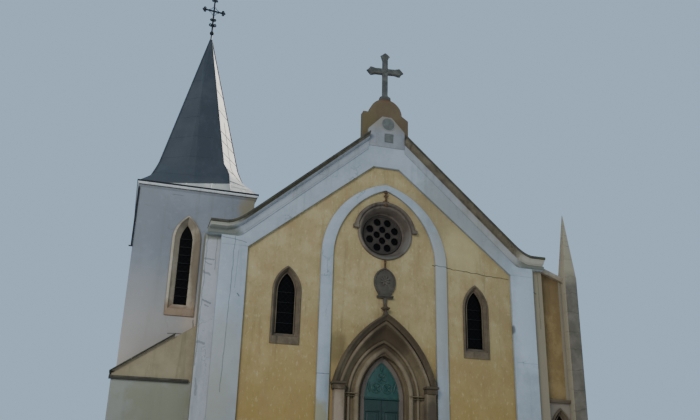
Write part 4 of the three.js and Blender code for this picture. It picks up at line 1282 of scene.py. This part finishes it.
leaf_right = fit_piece(
    join_pieces([leaf, edge_bead, top_bead]), "door_leaf_right_panelled", green_paint,
    "leaf_right",
)
leaf_left = mirrored_copy(leaf_right, "door_leaf_left_panelled")
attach(leaf_left, "leaf_left")
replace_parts(leaf_right, "door_leaf_right")
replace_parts(leaf_left, "door_leaf_left")
straps = []
for height in (0.62, 1.26, 2.9):
    straps.append(carved_block((0.16, 0.27, height - 0.025), (0.67, 0.277, height + 0.025), 0.003))
plate = carved_block((0.06, 0.193, 1.16), (0.13, 0.2, 1.36), 0.003)
pull = ring_around(roll_section(0.045, 0.185, 0.008), (0.095, 1.24), 24)
iron_right = fit_piece(
    join_pieces([*straps, plate, pull]), "door_ironwork_right", black_iron, "leaf_right",
)
iron_left = mirrored_copy(iron_right, "door_ironwork_left")
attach(iron_left, "leaf_left")

rounded_copy("door_tympanum", "door_head_board", 0.006, green_paint)
carving = [arched((0.6, 3.36, 4.5), roll_section(0, 0.2, 0.022), 3.36, steps=12)]
for x, z in ((-0.2, 3.66), (0.2, 3.66), (0, 4.0)):
    carving.append(ring_around(roll_section(0.165, 0.2, 0.02), (x, z), 28))
    for petal in range(4):
        turn = petal * math.pi / 2 + math.pi / 4
        place = (x + 0.012 * math.sin(turn), 0.2, z + 0.012 * math.cos(turn))
        carving.append(set_leaf(place, turn, (0.12, 0.045, 0.035)))
carving.append(set_leaf((0, 0.2, 4.2), 0.0, (0.2, 0.07, 0.04)))
for side in (-1, 1):
    carving.append(set_leaf((0.42 * side, 0.2, 3.5), side * math.radians(12), (0.36, 0.06, 0.035)))
transom = mould_run(
    [(0.2, 0.06), (0.165, 0.05), (0.15, 0.03), (0.15, 0.015), (0.17, 0.0), (0.2, -0.001)],
    [(-0.619, 3.271), (0.619, 3.271)],
)
fit_piece(join_pieces([*carving, transom]), "door_head_carving", green_paint)

# Steps and floor: worn stone slabs with rounded nosings, in pale worn patches.
floor_stone, tree, shader, skin = start_aged(
    "worn_floor_stone", ("8a847a", "a39d92", "55504a"), patches=(1.5, 0.6), streaks=0.2,
    cracks=(1.0, 0.6), grain=50.0,
)
spot = own_place(tree)
slabs = put(tree, "ShaderNodeTexBrick", {
    "Vector": spot, "Scale": 1.0, "Mortar Size": 0.006, "Brick Width": 0.95, "Row Height": 0.6,
    "Color1": (1, 1, 1, 1), "Color2": (0.88, 0.88, 0.88, 1), "Mortar": (0.35, 0.35, 0.35, 1),
})
color = blend(tree, 1.0, skin["Color"], slabs.outputs[0], "MULTIPLY")
height = calc(tree, "SUBTRACT", skin["Height"], slabs.outputs[1])
finish_material(tree, shader, color, height, 0.008, skin["Roughness"])
rounded_copy("door_steps", "door_steps_stone", 0.02, floor_stone, segments=3)
paint(floor_stone, "nave_floor")

# Side windows of the nave: the same pointed sandstone frame as in the front, three in each long wall,
# each with a projecting sill and saddle bars.
side_frame = arched((0.45, 5.6, 6.5), [
    (-0.12, 0.28), (-0.12, 0.12), (-0.025, -0.005), (-0.01, -0.035), (0.1, -0.035), (0.12, -0.018),
    (0.12, 0.0), (0.002, 0.001), (0.002, 0.28),
], 2.66)
side_parts = [side_frame, carved_block((-0.66, -0.1, 2.5), (0.66, 0.28, 2.66), 0.02)]
for height in (3.4, 4.15, 4.9, 5.6):
    side_parts.append(carved_block((-0.36, 0.2, height - 0.01), (0.36, 0.22, height + 0.01), 0.004))
side_window = join_pieces(side_parts)
for side, label in ((1, "right"), (-1, "left")):
    for number, along in enumerate((6.6, 9.7, 12.8), 1):
        window = side_window.copy()
        window.data = side_window.data.copy()
        bpy.context.scene.collection.objects.link(window)
        for vertex in window.data.vertices:
            x, y, z = vertex.co
            vertex.co = (side * (6.1 - y), along + side * x, z)
        fit_piece(window, f"nave_window_{label}_{number}", brown_stone)
bpy.data.objects.remove(side_window)

# Nave roof and the lean-to roof of the right annex: plain clay tiles in courses, each course lapping the
# one below and shifted by half a tile, with half round ridge tiles bedded in mortar.
clay_tile, tree, shader = start_material("clay_roof_tile", 0.85)
spot = own_place(tree)
each = vector(tree, "MULTIPLY", spot, (4.7, 5.0, 0.0))
each = vector(tree, "FLOOR", each)
lot = put(tree, "ShaderNodeTexWhiteNoise", {"Vector": each}).outputs[0]
lichen = band(tree, cloud(tree, spot, 0.9, 8.0, 0.7), 0.5, 0.66)
color = blend(tree, lot, rgb("583a2e"), rgb("7c5340"))
color = tinted(tree, color, lichen, 0.6, "504b3c")
finish_material(tree, shader, color, cloud(tree, spot, 40.0, 5.0), 0.006)


def repeat(piece, count, step):
    apply_modifier(
        piece, "ARRAY", count=count, use_relative_offset=False, use_constant_offset=True,
        constant_offset_displace=step,
    )


def tile_field(name, along, top_of, first_x, last_x, side=1, clear=None):
    """Plain tiles over a slope: one cambered tile is arrayed along the eaves and up the slope, then every
    vertex is dropped onto the slope's own line."""
    width, thick, course = 0.2, 0.018, 0.21
    length = along[1] - along[0]
    count = int(length / width)
    courses = max(int(round(abs(last_x - first_x) / course)), 1)
    run = (last_x - first_x) / courses
    fields = []
    for shift in (0, 1):
        tile = new_cube()
        for vertex in tile.data.vertices:
            x, y, z = vertex.co
            low_edge = x > 0
            vertex.co = (
                first_x + (x + 0.5) * run * 1.35,
                along[0] + shift * width / 2 + (y + 0.5) * (width - 0.006),
                (z + 0.5) * thick + (0.018 if low_edge else 0.002),
            )
        rows = (courses - shift + 1) // 2
        repeat(tile, count - shift, (0, width, 0))
        repeat(tile, rows, (2 * run, 0, 0))
        for vertex in tile.data.vertices:
            vertex.co.x += shift * run
        fields.append(tile)
    field = join_pieces(fields)
    limit = max(abs(first_x), abs(last_x))
    for vertex in field.data.vertices:
        across = min(abs(vertex.co.x), limit)
        vertex.co = (side * across, vertex.co.y, top_of(across) + vertex.co.z)
    if side < 0:
        start_edit(field)
        bpy.ops.mesh.flip_normals()
        end_edit()
    if clear is not None:
        start_edit(field)
        pick_faces(field, clear)
        bpy.ops.mesh.select_linked()
        bpy.ops.mesh.delete(type="VERT")
        end_edit()
    return fit_piece(field, name, clay_tile)


def nave_top(x):
    return gable_top(x) - 0.178


tile_field("nave_tiles_right", (0.93, 16.13), nave_top, 0.1, 6.34)
tile_field("nave_tiles_left", (0.93, 16.13), nave_top, 0.1, 6.34, side=-1,
           clear=lambda middle, normal: middle.x < -4.66 and middle.y < 4.97)
tile_field("annex_tiles", (0.97, 5.08), lambda x: 8.76 - (x - 6.37) * 0.37 - 0.058, 6.38, 8.02)
bpy.ops.object.select_all(action="DESELECT")
bpy.ops.mesh.primitive_cylinder_add(
    vertices=16, radius=0.13, depth=0.37, end_fill_type="NOTHING", location=(0, 1.12, 13.42),
    rotation=(math.pi / 2, 0, 0),
)
ridge = bpy.context.object
apply_place()
bpy.ops.object.mode_set(mode="EDIT")
pick_faces(ridge, lambda middle, normal: normal.z < -0.1)
bpy.ops.mesh.delete(type="FACE")
end_edit()
for vertex in ridge.data.vertices:
    if vertex.co.y > 1.12:
        vertex.co.x *= 0.9
        vertex.co.z -= 0.012
apply_modifier(ridge, "SOLIDIFY", thickness=0.018, offset=1)
repeat(ridge, 41, (0, 0.36, 0))
bpy.ops.object.shade_smooth_by_angle(angle=math.radians(40))
fit_piece(ridge, "nave_ridge_tiles", clay_tile)
paint(clay_tile, "nave_roof", "right_annex_roof")

# Tower: a square shaft of whitewashed masonry with soft corners, a thin bed mould under the eaves and an
# iron flat bar down its front left edge. Rain has left warm stains under the right end of the eaves.
tower_plaster, tree, shader, skin = start_aged(
    "tower_limewash", ("74777b", "82868b", "65625b"), patches=(0.45, 0.5), streaks=0.25,
    cracks=(0.3, 0.5), grain=60.0,
)
color = add_stains(tree, skin["Color"], (
    ((-4.7, 0.9, 9.7), (0.7, 3, 0.8), "7d7359", 0.8),
    ((-6.2, 0.9, 5.6), (0.9, 3, 0.6), "ad977f", 0.5),
))
warm_foot = rise_mask(tree, 3.8, 7.6, 0.25)
color = tinted(tree, color, warm_foot, 0.8, "ab9f90")
color = add_cracks(tree, color, "4a4540", (
    (-7.25, 5.1, -6.75, 5.12, 0.02, 0.8), (-6.45, 5.6, -6.42, 4.7, 0.024, 0.6),
    (-7.6, 10.0, -7.2, 9.98, 0.014, 0.5),
))
finish_aged(tree, shader, color, skin, 0.01)
rounded_copy("tower_shaft", "tower_shaft_plaster", 0.02, tower_plaster)

tower_across, tower_deep = (-8.726, -4.684), (0.9003, 4.9423)


def square_ring(section):
    """A moulding mitred round the tower: (outward, z) pairs are drawn at every corner and bridged round."""
    loops = []
    for way_x, way_y in ((-1, -1), (1, -1), (1, 1), (-1, 1)):
        x, y = tower_across[way_x > 0], tower_deep[way_y > 0]
        loops.append(outline_face([(x + way_x * out, y + way_y * out, z) for out, z in section], "NOTHING"))
        end_edit()
    ring = join_pieces(loops)
    show_only(ring)
    bpy.ops.object.mode_set(mode="EDIT")
    bpy.ops.mesh.select_mode(type="EDGE")
    count = len(section)
    shape = bmesh.from_edit_mesh(ring.data)
    shape.verts.ensure_lookup_table()
    for corner in range(4):
        for at in range(count):
            following = (at + 1) % count
            after = (corner + 1) % 4
            shape.faces.new([
                shape.verts[corner * count + at], shape.verts[corner * count + following],
                shape.verts[after * count + following], shape.verts[after * count + at],
            ])
    bmesh.update_edit_mesh(ring.data)
    end_edit()
    close_up(ring)
    return ring


fit_piece(
    square_ring([
        (-0.01, 10.195), (0.045, 10.195), (0.045, 10.18), (0.03, 10.165), (0.018, 10.14), (0.0, 10.12),
        (-0.01, 10.12),
    ]),
    "tower_bed_mould", tower_plaster,
)
# A thin ring of dark stone between the bed mould and the eave boards: a painted shadow gap.
fit_piece(
    square_ring([(-0.01, 10.229), (0.05, 10.229), (0.05, 10.1955), (-0.01, 10.1955)]),
    "tower_eave_painted_shadow_gap", coping_stone,
)
flat_bar = [
    carved_block((-8.785, 0.86, 7.95), (-8.727, 0.9, 10.12), 0.006),
    carved_block((-8.85, 0.86, 7.925), (-8.727, 0.885, 7.97), 0.006),
]
fit_piece(join_pieces(flat_bar), "tower_flat_bar", black_iron)

# Tower window: a wide splayed plaster frame in tan and ochre with an orange brown sill, and eight saddle
# bars before its dark leaded light.
ochre_frame, tree, shader, skin = start_aged(
    "ochre_window_plaster", ("9a8e7a", "b2a896", "675c4c"), patches=(2.0, 0.7), streaks=0.5,
    cracks=(1.0, 0.5), grain=55.0,
)
sill_tint = rise_mask(tree, 6.0, 6.3, 0.05)
# The dark patch down the right of the frame is partly painted shade in the right splay and partly the dark
# stems along the joint beside it.
color = add_stains(tree, skin["Color"], (
    ((-6.5, 0.9, 7.7), (0.3, 2, 1.9), "665a47", 0.85),
    ((-6.95, 0.9, 9.0), (0.55, 2, 0.3), "5f5546", 0.6),
))
color = tinted(tree, color, sill_tint, 0.65, "785d44")
finish_aged(tree, shader, color, skin, 0.012)
rounded_copy("tower_window_frame", "tower_window_frame_plaster", 0.016, ochre_frame)
bars = []
for step in range(1, 9):
    height = 6.12 + step * 0.29
    bars.append(carved_block((-7.18, 1.045, height - 0.009), (-6.72, 1.06, height + 0.009), 0.003))
fit_piece(join_pieces(bars), "tower_window_bars", black_iron)

# Eaves of the tower: white painted boards boxed round the wall head, with a dark sheet metal drip edge on
# top, its black partly painted shadow of the gap under it, and a moulded lower lip.
white_wood = aged_material(
    "white_board_paint", ("b9bcbc", "cfd1cf", "7d7b74"), patches=(1.5, 0.5), streaks=0.4,
    cracks=(1.5, 0.4), grain=40.0, depth=0.004,
)
rounded_copy("tower_eave", "tower_eave_boards", 0.008, white_wood)
fit_piece(
    square_ring([
        (0.0705, 10.25), (0.0705, 10.335), (0.09, 10.335), (0.096, 10.325), (0.09, 10.27), (0.08, 10.25),
    ]),
    "eave_moulded_lip", white_wood,
)
# The drip edge is black iron: partly the metal edge, partly painted shadow of the gap beneath it.
fit_piece(
    square_ring([(0.05, 10.308), (0.05, 10.362), (0.112, 10.362), (0.118, 10.35), (0.112, 10.308)]),
    "eave_drip_edge", black_iron,
)

# Spire: lapped sheets of slate blue metal over a bell-cast foot, rolled caps on the hips. The lowest
# course, which rises towards the right in front, is renewed in bright zinc sheets with standing seams; the
# right hand faces take the same bright sheets, partly as painted sunlight on the side turned to the light.
spire_axis = Vector((-6.705, 2.9213, 0))
spire_bend, spire_tip = 11.66, 17.92
zinc_foot, zinc_top = 10.36, 10.6


def spire_ring(height):
    """Corners of the sheeting at one height, from the left end of the front face round by the right."""
    drop = max(spire_bend - height, 0.0)
    reach = max((spire_tip - height) / (spire_tip - spire_bend), 0.024)
    wide = 1.455 * reach + 0.193 * drop ** 2
    corner = min(1.1462 * reach + 0.458 * drop ** 1.6, wide)
    hip = 0.5752 * wide
    if drop > 0.38:
        hip = 1.046 + (11.28 - height) * 0.06
    elif drop > 0:
        hip = 0.837 + drop * 0.55
    bent = 0.65 * wide + (corner - 0.65 * wide) * min(drop / 0.6, 1.0)
    points = [
        (-0.3 * wide, -wide), (hip, -wide), (corner, -corner), (wide, -hip), (wide, hip), (corner, corner),
        (hip, wide), (-hip, wide), (-corner, corner), (-wide, hip), (-wide, -hip), (-bent, -corner),
    ]
    return [Vector((spire_axis.x + x, spire_axis.y + y, height)) for x, y in points]


spire_heights = [
    10.3503, 10.42, 10.5, 10.6, 10.72, 10.86, 11.02, 11.2, 11.4, 11.66, 12.7, 13.7, 14.7, 15.7, 16.7, 17.4,
    17.77, 18.0,
]
cladding = carried([spire_ring(height) for height in spire_heights])
close_up(cladding, 22)

# Slate blue sheets. The renewed bright course of the front face ends at zinc_level + zinc_rise * x.
zinc_level, zinc_rise = 11.703, 0.17
slate_metal, tree, shader = start_material("slate_blue_sheet", 0.5, 0.2)
spot = own_place(tree)
axes = axes_of(tree, spot)
sideways, level = axes[0], axes[2]
wave = times(tree, cloud(tree, spot, 0.8, 2.0), 0.25)
lap = calc(tree, "FRACT", calc(tree, "DIVIDE", calc(tree, "ADD", level, wave), 0.92))
lap_line = flipped(tree, band(tree, lap, 0.0, 0.022))
patina = band(tree, cloud(tree, spot, 0.9, 7.0, 0.65), 0.4, 0.7)
color = tinted(tree, rgb("31363b"), patina, 0.5, "43484c")
left_side = calc(tree, "LESS_THAN", sideways, -6.9)
color = tinted(tree, color, left_side, 0.35, "46484a")
lap_share = calc(tree, "ADD", times(tree, left_side, 0.5), 0.25)
color = tinted(tree, color, lap_line, lap_share, "12161b")
runs = band(tree, cloud(tree, vector(tree, "MULTIPLY", spot, (5, 5, 0.35)), 1.2, 5.0), 0.5, 0.75)
color = tinted(tree, color, runs, 0.35, "454d55")
under = calc(tree, "SUBTRACT", level, times(tree, sideways, zinc_rise))
renewed = calc(tree, "LESS_THAN", under, zinc_level)
color = blend(tree, renewed, color, blend(tree, patina, rgb("a6a59b"), rgb("c4c1b6")))
dents = calc(tree, "ADD", times(tree, lap, 0.35), cloud(tree, spot, 1.6, 3.0))
finish_material(tree, shader, color, dents, 0.012, mapped(tree, patina, 0.42, 0.62))

# Bright zinc sheets, dented and dull in spots, lapped on a slant.
zinc, tree, shader = start_material("bright_zinc_sheet", 0.55, 0.1)
spot = own_place(tree)
bloom = band(tree, cloud(tree, spot, 1.8, 7.0, 0.65), 0.4, 0.7)
axes = axes_of(tree, spot)
slant = calc(tree, "ADD", axes[2], times(tree, axes[0], 0.22))
sheet = calc(tree, "FRACT", calc(tree, "DIVIDE", slant, 1.18))
sheet_line = flipped(tree, band(tree, sheet, 0.0, 0.03))
color = blend(tree, bloom, rgb("cdc7bd"), rgb("e2dbd2"))
color = tinted(tree, color, sheet_line, 0.55, "4c4a42")
dull = band(tree, cloud(tree, spot, 5.0, 6.0), 0.55, 0.7)
color = tinted(tree, color, dull, 0.35, "77766a")
dents = calc(tree, "SUBTRACT", cloud(tree, spot, 1.2, 3.0), times(tree, sheet_line, 0.1))
finish_material(tree, shader, color, dents, 0.03)
fit_piece(cladding, "spire_sheeting", slate_metal)
cladding.data.materials.append(zinc)
# Faces turned within 60 degrees of the right take the bright zinc: partly painted sunlight on that side.
for face in cladding.data.polygons:
    away = face.center - spire_axis
    renewed_to = zinc_top if away.y > 1.0 else zinc_foot
    if face.center.z < renewed_to or abs(math.atan2(away.y, away.x)) < math.radians(60):
        face.material_index = 1
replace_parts(cladding, "spire_skirt", "spire_roof")


def bent_rod(points, radius, closed=False, taper=None):
    """A forged bar or rolled cap: a line of points given a round section, then made a mesh."""
    line = bpy.data.curves.new("rod", "CURVE")
    line.dimensions = "3D"
    line.bevel_depth = radius
    line.bevel_resolution = 2
    line.use_fill_caps = True
    spline = line.splines.new("POLY")
    spline.points.add(len(points) - 1)
    for at, point in enumerate(points):
        spline.points[at].co = (*point, 1)
        spline.points[at].radius = 1.0 if taper is None else taper[at]
    spline.use_cyclic_u = closed
    piece = bpy.data.objects.new("rod", line)
    bpy.context.scene.collection.objects.link(piece)
    show_only(piece)
    bpy.ops.object.convert(target="MESH")
    piece = bpy.context.object
    close_up(piece, 50)
    return piece


def spire_line(corner, lowest, highest=17.77):
    return [spire_ring(height)[corner] for height in spire_heights if lowest <= height <= highest]


hips = [bent_rod(spire_line(1, zinc_foot), 0.026)]
for corner in (3, 4, 6, 7, 9, 10):
    hips.append(bent_rod(spire_line(corner, zinc_top), 0.026))
hips.append(bent_rod(spire_ring(zinc_top)[1:11], 0.011))
fit_piece(join_pieces(hips), "spire_hip_caps", slate_metal)
seams = [bent_rod(spire_line(corner, zinc_foot, 11.1), 0.014) for corner in (2, 5, 8)]
foot_ring, seam_ring = spire_ring(zinc_foot), spire_ring(zinc_top)
for first, last, count in ((1, 2, 1), (3, 4, 3), (6, 7, 3)):
    for number in range(1, count + 1):
        part = number / (count + 1)
        seam = [ring[first].lerp(ring[last], part) for ring in (foot_ring, seam_ring)]
        seams.append(bent_rod(seam, 0.012))


def zinc_edge(x):
    """Where the renewed course of the front face ends: higher towards the right."""
    height = zinc_level + zinc_rise * x
    return Vector((x, spire_ring(height)[0].y, height))


for x in (-7.2, -6.3):
    foot = Vector((x, foot_ring[0].y, foot_ring[0].z))
    seams.append(bent_rod([foot, zinc_edge(x + 0.04)], 0.012))
fit_piece(join_pieces(seams), "spire_zinc_seams", zinc)
laps = [bent_rod([zinc_edge(x) for x in (-7.9, -7.2, -6.6, -6.1, -5.62)], 0.01)]
for height in (10.9, 11.5, 12.2, 12.75, 13.2, 14.2, 15.2):
    for corners, fall in (((1, 2, 3), 0.3), ((3, 4), 0.2), ((6, 5, 4), 0.3)):
        drops = [fall * at / (len(corners) - 1) for at in range(len(corners))]
        lap_line = [spire_ring(height - drop)[corner] for corner, drop in zip(corners, drops)]
        laps.append(bent_rod(lap_line, 0.011))
laps.append(bent_rod(spire_line(2, zinc_top, 13.7), 0.01))
fit_piece(join_pieces(laps), "spire_zinc_laps", slate_metal)

# Iron cross on the spire: a forged bar cross with trefoil ends and paired scrolls, riveted to a tapered
# foot with a hollow ball above it.
axis_x, axis_y = spire_axis.x, spire_axis.y
foot_profile = [(0, 17.9), (0.036, 17.9), (0.032, 18.03), (0, 18.03)]
ball_profile = [
    (0, 18.02), (0.04, 18.024), (0.07, 18.05), (0.086, 18.09), (0.086, 18.12), (0.07, 18.16),
    (0.04, 18.186), (0.03, 18.21), (0, 18.21),
]
cross_parts = [
    turned_stem(foot_profile, (axis_x, axis_y)), turned_stem(ball_profile, (axis_x, axis_y), 20),
]


def scroll(height, side, size):
    """A flat scroll in the plane of the cross, curling outwards from the mast."""
    points = []
    steps, loops = 26, 1.25
    x, z = axis_x + side * size * 1.05, height + size * 0.2
    for step in range(steps + 1):
        part = step / steps
        turn = math.pi * (0.5 + 2 * loops * part)
        radius = size * (1.0 - 0.78 * part)
        points.append(Vector((x - side * radius * math.sin(turn), axis_y, z + radius * math.cos(turn))))
    return points


arms_z = 19.2
mast_points = [Vector((axis_x, axis_y, height)) for height in (18.2, 18.6, arms_z, 19.72)]
cross_parts.append(bent_rod(mast_points, 0.038, taper=[0.9, 1.0, 0.95, 0.9]))
arm_points = [Vector((axis_x + along, axis_y, arms_z - along * 0.07)) for along in (-0.4, 0, 0.4)]
cross_parts.append(bent_rod(arm_points, 0.036))
for height, size in ((18.5, 0.078), (18.76, 0.062)):
    for side in (-1, 1):
        cross_parts.append(bent_rod(scroll(height, side, size), 0.026))
for side_x, side_z in ((-1, 1), (1, 1), (-1, -1), (1, -1)):
    brace = [
        Vector((axis_x + side_x * out, axis_y, arms_z + side_z * up - side_x * fall))
        for out, up, fall in ((0.05, 0.2, 0), (0.1, 0.1, 0), (0.2, 0.05, 0.014))
    ]
    cross_parts.append(bent_rod(brace, 0.012))
for tip_x, tip_z, way_x, way_z in (
    (axis_x - 0.4, 19.228, -1, 0), (axis_x + 0.4, 19.172, 1, 0), (axis_x, 19.74, 0, 1),
):
    for out, across in ((0.03, 0.0), (-0.02, 0.075), (-0.02, -0.075)):
        centre = (tip_x + way_x * out + abs(way_z) * across, tip_z + way_z * out + abs(way_x) * across)
        loop = [
            Vector((centre[0] + 0.036 * math.cos(turn), axis_y, centre[1] + 0.036 * math.sin(turn)))
            for turn in [2 * math.pi * step / 14 for step in range(14)]
        ]
        cross_parts.append(bent_rod(loop, 0.024, closed=True))
point = [Vector((axis_x, axis_y, height)) for height in (19.78, 19.95)]
cross_parts.append(bent_rod(point, 0.016, taper=[1.0, 0.3]))
iron_cross = fit_piece(join_pieces(cross_parts), "spire_iron_cross", black_iron)
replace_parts(iron_cross, "spire_cross")

# Left annex wall in front of the tower: beige plaster above a dark string course, whitewash gone green
# below it, and a raking coping of dark stone that ends in a stub against the tower.
annex_plaster, tree, shader, skin = start_aged(
    "left_annex_limewash", ("80745b", "92866b", "565138"), patches=(0.8, 0.6), streaks=0.5,
    cracks=(0.5, 0.7), grain=60.0,
)
low_part = rise_mask(tree, 3.45, 3.5, 0.0)
pale = blend(tree, 0.65, skin["Color"], rgb("888c88"))
pale = add_stains(tree, pale, (((-7.2, 0.35, 2.6), (1.6, 3, 1.6), "77755a", 0.6),), 0.5)
color = blend(tree, low_part, skin["Color"], pale)
ledge_part = between(tree, (-9.5, 0, 3.35), (-6, 0.348, 3.7))
color = blend(tree, ledge_part, color, rgb("36332a"))
finish_aged(tree, shader, color, skin, 0.012)
rounded_copy("left_annex_wall", "left_annex_wall_plaster", 0.012, annex_plaster)
string_course = mould_run([
    (0.3505, 3.55), (0.262, 3.55), (0.255, 3.54), (0.255, 3.5), (0.275, 3.48), (0.3, 3.45), (0.3505, 3.44),
], [(-8.91, 0.004), (-6.47, 0.004)])
fit_piece(string_course, "left_annex_string_course", coping_stone)


def rake_top(x):
    return 3.62 + (x + 8.84) * 0.695


def rake_run(section, first, last):
    return mould_run(section, [(x, rake_top(x) + 0.001) for x in (first, last)])


rake_section = [
    (0.24, 0.088), (0.232, 0.094), (0.232, 0.112), (0.245, 0.126), (0.275, 0.132), (0.88, 0.132),
    (0.9, 0.12), (0.9, 0.088),
]
rake_stones = [
    rake_run(rake_section, *ends) for ends in ((-8.91, -8.3), (-8.29, -7.66), (-7.65, -7.02))
]
rake_bed = rake_run([(0.345, 0.001), (0.345, 0.0875), (0.89, 0.0875), (0.89, 0.001)], -8.9, -7.03)
fit_piece(rake_bed, "left_annex_coping_bed", annex_plaster)
rake_coping = fit_piece(
    join_pieces(rake_stones), "left_annex_coping_stones", coping_stone,
)
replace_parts(rake_coping, "left_annex_coping")

# Right annex: a tall panel of ochre plaster beside a paler margin, a brown ledge with a drip, a greyish
# wall with a lancet below it, and a raking coping of pale stone.
annex_front, tree, shader, skin = start_aged(
    "right_annex_limewash", ("746a5d", "857c6e", "534c3e"), patches=(1.2, 0.6), streaks=0.6,
    cracks=(0.7, 0.6), grain=60.0,
)
ochre = aged_skin(
    tree, ("77603a", "8f7a50", "503c22"), patches=(1.4, 0.6), streaks=0.7,
    cracks=(0.7, 0.4), grain=60.0,
)
margin = between(tree, (7.0, 0, 3.7), (8, 1.2, 9))
field = between(tree, (6.4, 0, 3.7), (7.32, 1.2, 8.6))
color = tinted(tree, skin["Color"], margin, 0.7, "8a806a")
shaded = add_stains(tree, ochre["Color"], (((6.9, 0, 8.2), (0.8, 3, 1.6), "634f31", 0.6),))
color = blend(tree, field, color, shaded)
ledge_part = between(tree, (6.3, 0, 3.5), (7.6, 0.498, 3.75))
color = blend(tree, ledge_part, color, rgb("564a3a"))
finish_aged(tree, shader, color, skin, 0.012)
rounded_copy("right_annex_front", "right_annex_front_plaster", 0.01, annex_front)
pale_coping = aged_material(
    "pale_coping_stone", ("857763", "a39a88", "4f4434"), patches=(3.0, 0.7), streaks=0.6,
    cracks=(1.5, 0.5), grain=50.0, depth=0.012,
)
rounded_copy("right_annex_coping", "right_annex_coping_stones", 0.016, pale_coping)
ledge = mould_run([
    (0.5005, 0.02), (0.41, 0.01), (0.392, 0.0), (0.392, -0.03), (0.42, -0.06), (0.45, -0.1),
    (0.5005, -0.11),
], [(6.42, 3.69), (7.45, 3.69)])
fit_piece(ledge, "right_annex_ledge", brown_stone)

# Corner pinnacle: a square pier of brown grey stone blocks under a tall slender pyramid. Its left face is
# paler as painted light from the left, the pyramid is paler too, and the joints stand open.
pinnacle_stone, tree, shader, skin = start_aged(
    "pale_pinnacle_stone", ("5b5549", "70685b", "39342b"), patches=(1.6, 0.8), streaks=0.5,
    cracks=(0.9, 0.9), grain=45.0,
)
spot = own_place(tree)
place_x, place_y, level = axes_of(tree, spot)
wave = times(tree, cloud(tree, spot, 1.5, 3.0), 0.5)
joint = calc(tree, "FRACT", calc(tree, "DIVIDE", calc(tree, "ADD", level, wave), 0.72))
joint_line = flipped(tree, band(tree, joint, 0.0, 0.03))
aside = calc(tree, "ABSOLUTE", calc(tree, "SUBTRACT", place_y, 0.46))
# Painted light: the face turned to the left is tinted paler, and so is the pyramid.
lit_left_face = calc(tree, "GREATER_THAN", calc(tree, "SUBTRACT", 7.72, place_x), aside)
tall_part = flipped(tree, rise_mask(tree, 8.0, 8.7, 0.1))
lit_face_and_pyramid = calc(tree, "MAXIMUM", lit_left_face, times(tree, tall_part, 0.9))
color = tinted(tree, skin["Color"], joint_line, 0.5, "44423c")
color = tinted(tree, color, lit_face_and_pyramid, 0.8, "a0977f")
height = calc(tree, "SUBTRACT", skin["Height"], times(tree, joint_line, 0.6))
finish_material(tree, shader, color, height, 0.018, skin["Roughness"])
rounded_copy("corner_pinnacle", "corner_pinnacle_stone", 0.02, pinnacle_stone)
